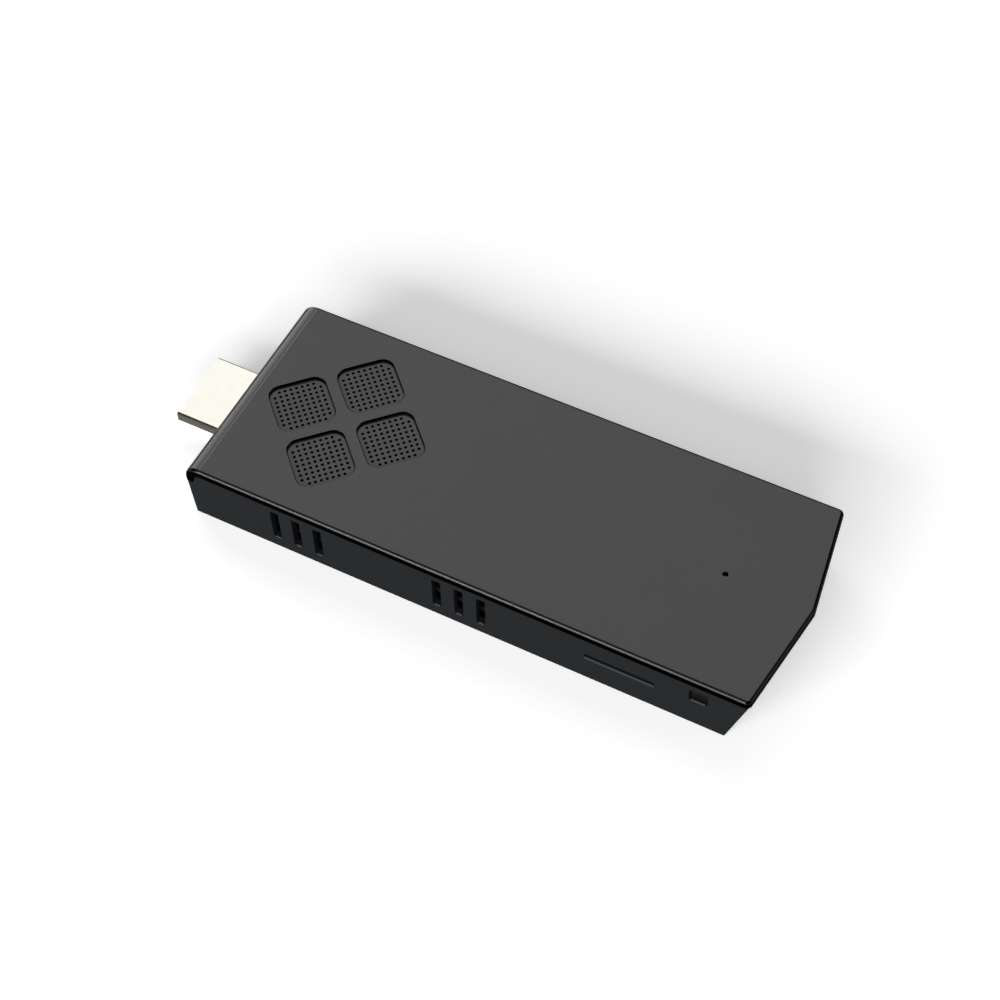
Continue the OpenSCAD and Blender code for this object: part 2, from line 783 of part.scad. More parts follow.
module main_board() {
  board_nose_x = nose_x + wall_t + cover_t;
  board_tip = end_x(board_z) - (wall_t + board_gap) / cos(end_lean);
  board_corner = board_tip - board_y * tan(tip_angle);
  corner_notch = nose_post_at + post_d / 2 + fit_gap;
  color("darkgreen")
  translate([0, 0, board_z]) linear_extrude(board_t) difference() {
    polygon([
      [board_nose_x, -board_y],
      [board_corner, -board_y],
      [board_tip, 0],
      [board_corner, board_y],
      [board_nose_x, board_y]
    ]);
    translate([nose_x, -plug_w / 2 - fit_gap]) square([plug_in + fit_gap, plug_w + 2 * fit_gap]);
    for (p = post_places) translate(p) circle(d = post_d + 2 * fit_gap);
    for (side = [-1, 1]) translate([nose_x, side * board_y]) square(2 * corner_notch, center = true);
    for (p = board_screw_places) translate(p) circle(d = small_screw_d + 2 * fit_gap);
    for (p = cooler_places) translate(p) circle(d = small_screw_d + 2 * fit_gap);
  }
}

// Small screw whose head lies on a height, with its shank below
module small_screw(seat_z, length) {
  translate([0, 0, seat_z]) cylinder(d = small_head_d, h = small_head_h);
  translate([0, 0, seat_z - length]) cylinder(d = small_screw_d - 2 * shaft_gap, h = length + small_head_h);
}

module board_screws() {
  color("silver")
  for (p = board_screw_places) translate([p[0], p[1], 0]) small_screw(board_top, board_top - floor_t - over);
}

// Spacers under the fan's lugs and the heat sink
module board_spacers() {
  color("goldenrod")
  for (i = [0:len(cooler_places) - 1]) {
    p = cooler_places[i];
    top = i < len(fan_screw_places) ? fan_z : sink_z;
    translate([p[0], p[1], board_top]) difference() {
      cylinder(d = small_head_d + 2 * fit_gap, h = top - board_top);
      translate([0, 0, -over]) cylinder(d = small_screw_d, h = far);
    }
  }
}

module cooler_screws() {
  color("silver")
  for (i = [0:len(cooler_places) - 1]) {
    p = cooler_places[i];
    seat = i < len(fan_screw_places) ? fan_z + fan_plate : sink_z + sink_base;
    translate([p[0], p[1], 0]) small_screw(seat, seat - board_z);
  }
}

plug_front_x = nose_x - plug_out;
plug_back_x = nose_x + plug_in;
plug_slot_w = plug_pitch * (plug_upper + 1);
plug_slot_depth = plug_out - sheet_t;

module plug_shell() {
  color([0.9, 0.85, 0.6]) {
    difference() {
      along_x(plug_front_x, plug_back_x) translate([0, plug_z]) plug_outline(0);
      along_x(plug_front_x - over, plug_back_x + over) translate([0, plug_z]) plug_outline(sheet_t);
    }
    for (side = [-1, 1])
      block(
        [plug_back_x - plug_tab_l, side * (plug_w + plug_tab_w - sheet_t) / 2],
        board_top,
        [plug_tab_l, plug_tab_w + sheet_t, sheet_t]
      );
  }
}

module plug_core() {
  core_x = plug_front_x + 2 * sheet_t;
  color([0.08, 0.08, 0.08])
  difference() {
    along_x(core_x, plug_back_x) translate([0, plug_z]) plug_outline(sheet_t);
    along_x(core_x - over, core_x + plug_slot_depth) translate([0, plug_z]) {
      square([plug_slot_w, plug_slot_h], center = true);
      plug_contact_slots();
    }
  }
}

// Ends of the contacts in the two rows, seen along the plug
module plug_contact_slots() {
  for (i = [0:plug_upper - 1])
    translate([(i - (plug_upper - 1) / 2) * plug_pitch - contact_w / 2, plug_slot_h / 2 - over / 2])
      square([contact_w, over / 2 + contact_t]);
  for (i = [0:plug_lower - 1])
    translate([(i - (plug_lower - 1) / 2) * plug_pitch - contact_w / 2, -plug_slot_h / 2 - contact_t])
      square([contact_w, over / 2 + contact_t]);
}

module plug_contacts() {
  start_x = plug_front_x + 4 * sheet_t;
  end_x = plug_front_x + 2 * sheet_t + plug_slot_depth;
  color("gold") {
    for (i = [0:plug_upper - 1])
      translate([start_x, (i - (plug_upper - 1) / 2) * plug_pitch - contact_w / 2, plug_z + plug_slot_h / 2])
        cube([end_x - start_x, contact_w, contact_t]);
    for (i = [0:plug_lower - 1])
      translate([
        start_x,
        (i - (plug_lower - 1) / 2) * plug_pitch - contact_w / 2,
        plug_z - plug_slot_h / 2 - contact_t
      ])
        cube([end_x - start_x, contact_w, contact_t]);
  }
}

// Sheet tube of a port on the far side, from a pair of outlines: the outer one and the inner one
module port_tube(x, d) {
  translate([x, 0, board_top]) along_y(port_y - d, port_y) difference() {
    children(0);
    children(1);
  }
}

// Insulator of a port: a block of the given outline at the back of the tube, and a tongue towards its mouth
module port_insulator(x, h, d, tongue) {
  back = d - tongue[2] - 2 * port_recess;
  translate([x, 0, board_top]) {
    along_y(port_y - d, port_y - d + back) children();
    along_y(port_y - d, port_y - d + back + tongue[2])
      translate([-tongue[0] / 2, h - sheet_t - tongue[3] - tongue[1]]) square([tongue[0], tongue[1]]);
  }
}

// Flat contacts under a port's tongue
module port_strips(x, h, d, tongue, count, pitch, w) {
  back = d - tongue[2] - 2 * port_recess;
  for (i = [0:count - 1])
    translate([
      x + (i - (count - 1) / 2) * pitch - w / 2,
      port_y - d + back,
      board_top + h - sheet_t - tongue[3] - tongue[1] - contact_t
    ])
      cube([w, tongue[2] - over / 2, contact_t]);
}

data_tongue = [tongue_w, tongue_t, tongue_l, tongue_gap];
power_tongue = [power_tongue_w, power_tongue_t, power_tongue_l, power_tongue_gap];

module data_port_shell(i) {
  color("silver") port_tube(data_x[i], data_d) {
    data_outline(0);
    data_outline(sheet_t);
  }
}

module data_port_core(i) {
  color(i == 0 ? "royalblue" : "white")
    port_insulator(data_x[i], data_h, data_d, data_tongue) data_outline(sheet_t);
}

module data_port_contacts(i) {
  color("gold")
    port_strips(data_x[i], data_h, data_d, data_tongue, data_contacts, data_contact_pitch, data_contact_w);
}

module power_port_shell() {
  color("silver") port_tube(power_x, power_d) {
    power_outline(0);
    power_outline(sheet_t);
  }
}

module power_port_core() {
  color([0.1, 0.1, 0.1]) port_insulator(power_x, power_h, power_d, power_tongue) power_outline(sheet_t);
}

module power_port_contacts() {
  color("gold")
    port_strips(
      power_x, power_h, power_d, power_tongue, power_contacts, power_contact_pitch, power_contact_w
    );
}

socket_front_y = -inner_y + board_gap;
socket_base_t = card_lift - channel_h / 2;

module card_socket_base() {
  color([0.1, 0.1, 0.1])
  difference() {
    block(
      [card_x, socket_front_y + socket_d / 2],
      board_top,
      [socket_w, socket_d, socket_base_t + channel_h]
    );
    block(
      [card_x, socket_front_y + socket_d / 2 - over],
      board_top + socket_base_t,
      [channel_w, socket_d, body_h]
    );
  }
}

module card_socket_lid() {
  color("silver")
    block(
      [card_x, socket_front_y + socket_d / 2],
      board_top + socket_base_t + channel_h,
      [socket_w, socket_d, sheet_t]
    );
}

module card_socket_contacts() {
  strip_l = socket_d / 3;
  color("gold")
  for (i = [0:card_contacts - 1])
    block(
      [
        card_x + (i - (card_contacts - 1) / 2) * card_contact_pitch,
        socket_front_y + socket_d - over - strip_l
      ],
      board_top + socket_base_t,
      [contact_w, strip_l, contact_t]
    );
}

flange_y = -inner_y + fit_gap;
plunger_y = flange_y + flange_t;
switch_y = plunger_y + plunger_l;
switch_z = board_top + switch_h / 2;

module power_button() {
  flange_top = window_z + window_h / 2 + over / 2;
  color([0.1, 0.1, 0.1]) {
    along_y(near_y + button_recess, plunger_y)
      translate([button_x, window_z])
        round_rect(window_w - 2 * fit_gap, window_h - 2 * fit_gap, window_r - fit_gap);
    block(
      [button_x, flange_y + flange_t / 2],
      board_top + 2 * fit_gap,
      [flange_w, flange_t, flange_top - board_top - 2 * fit_gap]
    );
  }
}

module power_switch() {
  color("silver")
  difference() {
    block([button_x, switch_y + switch_d / 2], board_top, [switch_w, switch_d, switch_h]);
    along_y(switch_y - over, switch_y + switch_d / 2)
      translate([button_x, switch_z]) square([switch_w / 2 + fit_gap, switch_h / 2 + fit_gap], center = true);
  }
}

module switch_plunger() {
  stem = switch_d / 2 - button_travel - fit_gap;
  color([0.15, 0.15, 0.15])
    along_y(plunger_y, switch_y + stem)
      translate([button_x, switch_z]) square([switch_w / 2 - fit_gap, switch_h / 2 - fit_gap], center = true);
}

module status_lamp() {
  color("white") block([lamp_x, 0], board_top, [lamp_l, lamp_w, lamp_h]);
}

module light_pipe() {
  pipe_z = board_top + lamp_h + fit_gap;
  color("aliceblue") {
    translate([lamp_x, 0, pipe_z]) cylinder(d = pipe_d, h = split_z - pipe_z);
    translate([lamp_x, 0, split_z - over]) cylinder(d = pinhole_d - fit_gap, h = cover_t - pipe_sink + over);
  }
}

module processor() {
  color([0.2, 0.25, 0.2]) {
    block([sink_x, 0], board_top, [chip_side, chip_side, chip_h / 2]);
    block([sink_x, 0], board_top, [die_side, die_side, chip_h]);
  }
}

module thermal_pad() {
  color("lightsteelblue") block([sink_x, 0], board_top + chip_h, [die_side, die_side, pad_t]);
}

module heat_sink() {
  fin_count = floor((sink_l - fin_t) / fin_pitch) + 1;
  fin_places = [for (i = [0:fin_count - 1]) sink_x + (i - (fin_count - 1) / 2) * fin_pitch];
  fin_z = sink_z + sink_base;
  color("silver")
  difference() {
    union() {
      block([sink_x, 0], sink_z, [sink_l, sink_w, sink_base]);
      for (x = fin_places) block([x, 0], sink_z, [fin_t, sink_w, cooler_top - sink_z]);
    }
    for (p = sink_screw_places)
      for (x = fin_places)
        if (abs(x - p[0]) < (small_head_d + fin_t + over) / 2)
          block([x, p[1]], fin_z, [fin_t + over, 2 * (sink_hole + fit_gap), far]);
    for (p = sink_screw_places)
      translate([p[0], p[1], sink_z - over]) cylinder(d = small_screw_d + 2 * fit_gap, h = far);
  }
}

// Outline of the fan's scroll: a half round with a straight mouth towards +X
module scroll(r) {
  circle(r = r);
  translate([0, -r]) square([fan_side / 2, 2 * r]);
}

rotor_r = fan_side / 2 - fan_wall - tip_gap;
tube_r = bearing_r + tube_t;
magnet_r = hub_r - hub_t;
stator_r = magnet_r - magnet_t - pole_gap;
fan_floor = fan_z + fan_plate;
lid_z = cooler_top - fan_plate;
hub_top = lid_z - rotor_gap;
hub_low = fan_floor + rotor_gap;
tube_top = hub_top - hub_t - rotor_gap;

// Outline of an ear that carries a screw at a distance from the fan's middle
module ear(reach) {
  translate([0, -lug_r]) square([reach, 2 * lug_r]);
  translate([reach, 0]) circle(r = lug_r);
}

module fan_frame() {
  color([0.12, 0.12, 0.12])
  difference() {
    union() {
      translate([grille_x, 0, fan_z]) linear_extrude(fan_plate) {
        scroll(fan_side / 2);
        for (turn = [135, 225]) rotate(turn) ear(fan_side / 2 + lug_r);
        ear(fan_side / 2 + sink_gap / 2);
      }
      translate([grille_x, 0, fan_z]) linear_extrude(lid_z - fan_z) difference() {
        scroll(fan_side / 2);
        scroll(fan_side / 2 - fan_wall);
        translate([fan_side / 2 - fan_wall, -fan_side / 2 + fan_wall])
          square([far, fan_side - 2 * fan_wall]);
      }
      translate([grille_x, 0, fan_z]) cylinder(r = tube_r, h = tube_top - fan_z);
    }
    translate([grille_x, 0, fan_floor]) cylinder(r = bearing_r, h = far);
    for (p = fan_screw_places)
      translate([p[0], p[1], fan_z - over])
        cylinder(d = small_screw_d + 2 * fit_gap, h = fan_plate + 2 * over);
  }
}

module fan_lid() {
  color([0.2, 0.2, 0.2])
  translate([grille_x, 0, lid_z]) linear_extrude(fan_plate) difference() {
    scroll(fan_side / 2);
    circle(r = rotor_r - 2 * fan_wall);
  }
}

module fan_bearing() {
  color("peru")
  translate([grille_x, 0, fan_floor]) difference() {
    cylinder(r = bearing_r, h = tube_top - fan_floor);
    translate([0, 0, -over]) cylinder(r = shaft_r + shaft_gap, h = far);
  }
}

module fan_stator() {
  color("orangered")
  translate([grille_x, 0, fan_floor + fit_gap])
  linear_extrude(tube_top - fan_floor - rotor_gap) difference() {
    union() {
      circle(r = tube_r + pole_w / 2);
      intersection() {
        circle(r = stator_r);
        for (i = [0:pole_count - 1])
          rotate(i * 360 / pole_count) translate([0, -pole_w / 2]) square([stator_r, pole_w]);
      }
    }
    circle(r = tube_r);
  }
}

module fan_rotor() {
  color([0.15, 0.15, 0.15])
  translate([grille_x, 0, hub_low]) difference() {
    union() {
      cylinder(r = hub_r, h = hub_top - hub_low);
      linear_extrude(hub_top - hub_low - rotor_gap) intersection() {
        circle(r = rotor_r);
        for (i = [0:blade_count - 1])
          rotate(i * 360 / blade_count) translate([hub_r - hub_t / 2, 0]) rotate(-blade_lean)
            translate([0, -blade_t / 2]) square([rotor_r, blade_t]);
      }
    }
    translate([0, 0, -over]) cylinder(r = magnet_r, h = hub_top - hub_low - hub_t + over);
    cylinder(r = shaft_r, h = far);
  }
}

module fan_shaft() {
  color("gainsboro")
    translate([grille_x, 0, fan_floor + fit_gap]) cylinder(r = shaft_r, h = hub_top - fan_floor - fit_gap);
}

module fan_magnet() {
  color("dimgray")
  translate([grille_x, 0, hub_low]) difference() {
    cylinder(r = magnet_r, h = hub_top - hub_low - hub_t);
    translate([0, 0, -over]) cylinder(r = magnet_r - magnet_t, h = far);
  }
}

// Round lead along a list of points, with a ball at each bend
module lead(points, d) {
  for (i = [0:len(points) - 2]) {
    a = points[i];
    b = points[i + 1];
    v = b - a;
    run = norm([v[0], v[1]]);
    translate(a) rotate([0, atan2(run, v[2]), atan2(v[1], v[0])]) cylinder(d = d, h = norm(v));
    if (i > 0) translate(a) sphere(d = d);
  }
}

connector_place = [
  sink_start_x + connector_l / 2 + over / 2,
  -sink_w / 2 - connector_w / 2 - over / 2
];
connector_top = board_top + connector_h;

module fan_connector() {
  color("ivory") block(connector_place, board_top, [connector_l, connector_w, connector_h]);
}

module fan_lead() {
  turn_x = fan_end_x + sink_gap / 2;
  start_y = (fan_wall - fan_side) / 2;
  drop_y = connector_place[1];
  color("firebrick")
  for (i = [0, 1]) {
    lead_z = connector_top + lead_d + i * (lead_d + fit_gap);
    drop_x = connector_place[0] + (2 * i - 1) * lead_d;
    lead([
      [fan_end_x, start_y, lead_z],
      [turn_x, start_y, lead_z],
      [turn_x, drop_y, lead_z],
      [drop_x, drop_y, lead_z],
      [drop_x, drop_y, connector_top]
    ], lead_d);
  }
}

module memory_chips() {
  color([0.1, 0.1, 0.1])
  for (u = [-1, 1], v = [-1, 1])
    block(
      [sink_x + u * memory_reach, v * (pair_gap + memory_w) / 2],
      board_z - part_h,
      [memory_l, memory_w, part_h]
    );
}

module storage_chip() {
  color([0.1, 0.1, 0.1]) block([sink_x, 0], board_z - part_h, [storage_l, storage_w, part_h]);
}

module power_chip() {
  color([0.1, 0.1, 0.1])
    block(
      [grille_x + power_chip_side / 2, power_chip_side],
      board_top,
      [power_chip_side, power_chip_side, part_h]
    );
}

module power_inductors() {
  color("dimgray")
  for (i = [-1:2]) block([grille_x + i * coil_pitch, -coil_side], board_top, [coil_side, coil_side, coil_h]);
}

module power_capacitors() {
  y = -2 * coil_side - capacitor_w / 2;
  color("goldenrod")
  for (i = [-1:2])
    block([grille_x + i * coil_pitch, y], board_top, [capacitor_l, capacitor_w, coil_h]);
}

radio_place = [radio_x, -board_y + radio_side / 2 + over];

firmware_y = socket_front_y + socket_d + firmware_w / 2 + over / 2;

module firmware_chip() {
  color([0.1, 0.1, 0.1]) block([card_x, firmware_y], board_top, [firmware_l, firmware_w, part_h]);
}

module clock_crystal() {
  x = card_x - (firmware_l + crystal_l + over) / 2;
  color("silver") block([x, firmware_y], board_top, [crystal_l, crystal_w, part_h]);
}

module wireless_module() {
  color("darkgreen") block(radio_place, board_top, [radio_side, radio_side, radio_board_t]);
}

module wireless_shield() {
  outer = radio_side - over;
  inner = outer - 2 * sheet_t;
  color("silver")
  difference() {
    block(radio_place, board_top + radio_board_t, [outer, outer, radio_h]);
    block(radio_place, board_top + radio_board_t - over, [inner, inner, radio_h + over - sheet_t]);
  }
}

antenna_place = [lamp_x + pipe_d + rib_t + antenna_w / 2, 0];
antenna_l = 2 * (end_post_y - post_d / 2 - antenna_gap);

module antenna_strip() {
  color("peru") block(antenna_place, split_z - antenna_t, [antenna_w, antenna_l, antenna_t]);
}

module antenna_lead() {
  x = antenna_place[0];
  y = -antenna_l / 4;
  radio_top = board_top + radio_board_t + radio_h;
  lead_z = (radio_top + split_z) / 2;
  color([0.1, 0.1, 0.1])
    lead([
      [x, y, split_z - antenna_t],
      [x, y, lead_z],
      [radio_place[0], y, lead_z],
      [radio_place[0], radio_place[1], lead_z],
      [radio_place[0], radio_place[1], radio_top]
    ], lead_d);
}

top_cover();
lower_shell();
case_screws();
main_board();
board_screws();
board_spacers();
cooler_screws();
plug_shell();
plug_core();
plug_contacts();
data_port_shell(0);  // data_port_1_shell
data_port_core(0);  // data_port_1_core
data_port_contacts(0);  // data_port_1_contacts
data_port_shell(1);  // data_port_2_shell
data_port_core(1);  // data_port_2_core
data_port_contacts(1);  // data_port_2_contacts
power_port_shell();
power_port_core();
power_port_contacts();
card_socket_base();
card_socket_lid();
card_socket_contacts();
power_button();
power_switch();
switch_plunger();
status_lamp();
light_pipe();
processor();
thermal_pad();
heat_sink();
fan_frame();
fan_lid();
fan_bearing();
fan_stator();
fan_rotor();
fan_shaft();
fan_magnet();
fan_lead();
fan_connector();
memory_chips();
storage_chip();
power_chip();
power_inductors();
power_capacitors();
firmware_chip();
clock_crystal();
wireless_module();
wireless_shield();
antenna_strip();
antenna_lead();
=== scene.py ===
"""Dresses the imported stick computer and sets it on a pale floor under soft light.

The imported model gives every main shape. This file gives each node its finish, adds the fine metal pieces
(cross-head screws with their threads, bent contact springs) as surfaces worked out with numpy, and sets up
the floor, the lamps and the camera. Names that end in _mm hold millimetres; meshes are in metres.
"""

import logging
import math
from dataclasses import dataclass, field
from enum import Enum
from typing import ClassVar, Mapping, Sequence, Union

import bmesh
import bpy
import numpy as np
from mathutils import Matrix, Vector


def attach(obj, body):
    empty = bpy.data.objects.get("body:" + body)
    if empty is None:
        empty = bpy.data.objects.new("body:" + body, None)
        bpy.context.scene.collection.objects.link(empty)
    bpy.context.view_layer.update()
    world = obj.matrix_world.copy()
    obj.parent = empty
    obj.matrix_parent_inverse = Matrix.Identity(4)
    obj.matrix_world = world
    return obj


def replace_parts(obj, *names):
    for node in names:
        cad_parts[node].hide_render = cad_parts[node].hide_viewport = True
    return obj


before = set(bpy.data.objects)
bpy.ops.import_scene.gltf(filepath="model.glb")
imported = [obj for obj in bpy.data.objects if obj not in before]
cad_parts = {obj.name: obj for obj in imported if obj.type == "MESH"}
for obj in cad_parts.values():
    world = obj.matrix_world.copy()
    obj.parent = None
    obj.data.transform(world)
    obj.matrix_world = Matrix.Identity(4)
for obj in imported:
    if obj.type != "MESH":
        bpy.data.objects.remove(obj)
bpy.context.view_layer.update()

LOG = logging.getLogger("stick_computer")
MM = 0.001
STICK_BODY = "stick"

Colour = tuple[float, float, float]
Triple = tuple[float, float, float]
Span = tuple[float, float]
Socket = bpy.types.NodeSocket
Value = Union[float, Sequence[float], Socket]

# Where a remap goes to, and the span that most of a noise lies in
RISE: Span = (0.0, 1.0)
FALL: Span = (1.0, 0.0)
NOISE_SPAN: Span = (0.3, 0.7)


class Slot(Enum):
    """The record's material slots."""

    COVER = "cover_plastic"
    SHELL = "shell_plastic"
    BUTTON = "button_plastic"
    PLUG = "plug_metal"
    GOLD = "contact_gold"
    PORT = "port_metal"
    SCREW = "screw_steel"
    BLACK_INSULATOR = "black_insulator"
    BLUE_INSULATOR = "blue_insulator"
    WHITE_INSULATOR = "white_insulator"
    BOARD = "board_laminate"
    CHIP = "chip_epoxy"
    COIL = "coil_ferrite"
    CAPACITOR = "capacitor_case"
    SINK = "sink_aluminium"
    PAD = "pad_silicone"
    FAN = "fan_plastic"
    BEARING = "bearing_bronze"
    STATOR = "stator_copper"
    MAGNET = "magnet_black"
    LEAD_RED = "lead_red"
    LEAD_BLACK = "lead_black"
    ANTENNA = "antenna_foil"
    LAMP = "lamp_white"
    ACRYLIC = "clear_acrylic"


Wears = Mapping[Slot, Sequence[str]]


def shade(red: int, green: int, blue: int) -> Colour:
    """Turns a display colour, 0 to 255 a channel, into the linear colour that shaders take.

    A channel is the display value over 255, plus 0.055, over 1.055, to the power 2.4; close to black it is
    the display value over 255, over 12.92.

    Args:
        red: Red as displayed.
        green: Green as displayed.
        blue: Blue as displayed.

    Returns:
        The linear colour.
    """
    display = np.array([red, green, blue]) / 255.0
    linear = np.where(display <= 0.04045, display / 12.92, ((display + 0.055) / 1.055) ** 2.4)
    return tuple(float(channel) for channel in linear)


def scaled(colour: Colour, factor: float = 1.0) -> tuple[float, float, float, float]:
    """Returns a colour made lighter or darker by a factor, with full alpha for a colour socket."""
    return tuple(min(1.0, channel * factor) for channel in colour) + (1.0,)


class Recipe:
    """The node tree of one finish, written in short calls."""

    def __init__(self, name: str) -> None:
        """Starts a material with its shader and the object's own coordinates."""
        self.material = bpy.data.materials.new(name)
        self.material.use_nodes = True
        self.tree = self.material.node_tree
        self.shader = self.tree.nodes["Principled BSDF"]
        self.place = self.node("ShaderNodeTexCoord").outputs["Object"]

    def node(
        self, kind: str, sockets: Mapping[Union[str, int], Value] | None = None, **settings: object
    ) -> bpy.types.Node:
        """Adds a node.

        Args:
            kind: The node's type name.
            sockets: Input name or number, with a constant or the socket that feeds it.
            **settings: Properties of the node itself.

        Returns:
            The new node.
        """
        node = self.tree.nodes.new(kind)
        for name, setting in settings.items():
            setattr(node, name, setting)
        for key, value in (sockets or {}).items():
            self.feed(node.inputs[key], value)
        return node

    def feed(self, socket: Socket, value: Value) -> None:
        """Links a socket to its source, or sets its constant."""
        if isinstance(value, bpy.types.NodeSocket):
            self.tree.links.new(value, socket)
        else:
            socket.default_value = value

    def shader_values(self, **values: Value) -> None:
        """Sets sockets of the shader, named with _ for each space."""
        for name, value in values.items():
            self.feed(self.shader.inputs[name.replace("_", " ")], value)

    def stretched(self, stretch: Triple) -> Socket:
        """Returns the object's coordinates drawn out along each axis by a factor."""
        scale = tuple(1.0 / factor for factor in stretch)
        return self.node("ShaderNodeMapping", {"Vector": self.place, "Scale": scale}).outputs[0]

    def noise(self, grain_mm: float, detail: float = 2.0, stretch: Triple = (1.0, 1.0, 1.0)) -> Socket:
        """Adds cloudy noise.

        Args:
            grain_mm: Size of a cloud.
            detail: Octaves of finer clouds.
            stretch: How far the clouds are drawn out along each axis.

        Returns:
            The noise from 0 to 1, mostly near a half.
        """
        vector = self.place if stretch == (1.0, 1.0, 1.0) else self.stretched(stretch)
        values = {"Vector": vector, "Scale": 1.0 / (grain_mm * MM), "Detail": detail}
        return self.node("ShaderNodeTexNoise", values).outputs[0]

    def cells(self, grain_mm: float, feature: str = "F1") -> Socket:
        """Returns the distance from the nearest of many scattered points, in cells of a given size."""
        values = {"Vector": self.place, "Scale": 1.0 / (grain_mm * MM)}
        return self.node("ShaderNodeTexVoronoi", values, feature=feature).outputs[0]

    def remap(self, value: Value, source: Span, target: Span) -> Socket:
        """Carries a range of values smoothly onto another.

        Args:
            value: What is carried over.
            source: The range it comes from; values outside are held at its ends.
            target: The range it goes to.

        Returns:
            The new value.
        """
        values = {"Value": value, "From Min": source[0], "From Max": source[1]}
        values.update({"To Min": target[0], "To Max": target[1]})
        return self.node("ShaderNodeMapRange", values, interpolation_type="SMOOTHSTEP").outputs[0]

    def math(self, operation: str, first: Value, second: Value = 0.0) -> Socket:
        """Returns the result of one operation on two values."""
        return self.node("ShaderNodeMath", {0: first, 1: second}, operation=operation).outputs[0]

    def folded(self, operation: str, *values: Value) -> Socket:
        """Works through values with one operation.

        Args:
            operation: The operation, such as MAXIMUM or MULTIPLY.
            *values: Two values or more, taken from first to last.

        Returns:
            The result, such as the largest value or the product.
        """
        result = values[0]
        for value in values[1:]:
            result = self.math(operation, result, value)
        return result

    def mix(self, share: Value, first: Value, second: Value) -> Socket:
        """Returns the first colour where the share is 0 and the second where it is 1."""
        return self.node("ShaderNodeMix", {0: share, 6: first, 7: second}, data_type="RGBA").outputs[2]

    def blend(self, share: Value, first: Value, second: Value) -> Socket:
        """Returns the first value where the share is 0 and the second where it is 1."""
        return self.node("ShaderNodeMix", {0: share, 2: first, 3: second}, data_type="FLOAT").outputs[0]

    def drifting(self, colour: Colour, drift: float, noise: Socket) -> Socket:
        """Returns a colour that a noise makes darker and lighter by a share of itself."""
        light = self.remap(noise, NOISE_SPAN, RISE)
        return self.mix(light, scaled(colour, 1.0 - drift), scaled(colour, 1.0 + drift))

    def facing(self) -> Mapping[str, Socket]:
        """Returns the surface's own outward direction as its X, Y and Z parts."""
        normal = self.node("ShaderNodeNewGeometry").outputs["Normal"]
        return self.node("ShaderNodeSeparateXYZ", {0: normal}).outputs

    def spot(self) -> Mapping[str, Socket]:
        """Returns the object's own coordinates as their X, Y and Z parts, in metres."""
        return self.node("ShaderNodeSeparateXYZ", {0: self.place}).outputs

    def relief(self, height: Socket, depth_mm: float) -> None:
        """Bumps the shader's surface by a height pattern of a given depth."""
        values = {"Height": height, "Distance": depth_mm * MM, "Strength": 1.0}
        self.shader_values(Normal=self.node("ShaderNodeBump", values).outputs["Normal"])


@dataclass(frozen=True)
class Finish:
    """A finish that becomes one material."""

    name: str

    def material(self) -> bpy.types.Material:
        """Makes the material; each kind of finish has its own recipe."""
        raise NotImplementedError(self.name)

    def tone(self, recipe: Recipe, plain: Socket) -> Socket:
        """Returns the colour as it stands; a finish with paler or darker places changes it."""
        return plain


@dataclass(frozen=True)
class MouldedPlastic(Finish):
    """Injection-moulded plastic: a spark-eroded grain and a slow drift of tone and gloss."""

    colour: Colour = (0.02, 0.02, 0.02)
    roughness: float = 0.5
    specular: float = 0.3
    grain_mm: float = 0.12
    depth_mm: float = 0.004
    drift: float = 0.15
    cloud_mm: float = 7.0
    cloud_share: float = 0.6
    gloss_drift: float = 0.05

    def material(self) -> bpy.types.Material:
        """Makes the plastic.

        Returns:
            A material whose tone drifts with slow clouds, and whose grain shows in tone, gloss and relief.
        """
        recipe = Recipe(self.name)
        grain = recipe.noise(self.grain_mm, detail=3.0)
        cloud = recipe.noise(self.cloud_mm)
        clouded = recipe.math("MULTIPLY", cloud, self.cloud_share)
        share = recipe.math("ADD", clouded, recipe.math("MULTIPLY", grain, 1.0 - self.cloud_share))
        gloss = (self.roughness - self.gloss_drift, self.roughness + self.gloss_drift)
        recipe.shader_values(
            Base_Color=self.tone(recipe, recipe.drifting(self.colour, self.drift, share)),
            Roughness=recipe.remap(share, NOISE_SPAN, gloss),
            Specular_IOR_Level=self.specular,
        )
        recipe.relief(grain, self.depth_mm)
        return recipe.material


@dataclass(frozen=True)
class ShellPlastic(MouldedPlastic):
    """The shell's plastic, with a painted highlight in a paler tone on the bevelled sills of the openings.
    """

    # A painted highlight: the paler colour on the sills of the openings.
    sill_highlight: Colour = (0.048, 0.048, 0.049)
    raised_span: Span = (0.45, 0.60)
    outward_span: Span = (-0.60, -0.45)

    def tone(self, recipe: Recipe, plain: Socket) -> Socket:
        """Paints a highlight on the sills in a paler tone.

        Args:
            recipe: The recipe that the nodes join.
            plain: The colour of the rest of the shell.

        Returns:
            The colour, turned to the sill's where the surface looks both up and out of the near wall.
        """
        facing = recipe.facing()
        raised = recipe.remap(facing["Z"], self.raised_span, RISE)
        outward = recipe.remap(facing["Y"], self.outward_span, FALL)
        return recipe.mix(recipe.math("MULTIPLY", raised, outward), plain, scaled(self.sill_highlight))


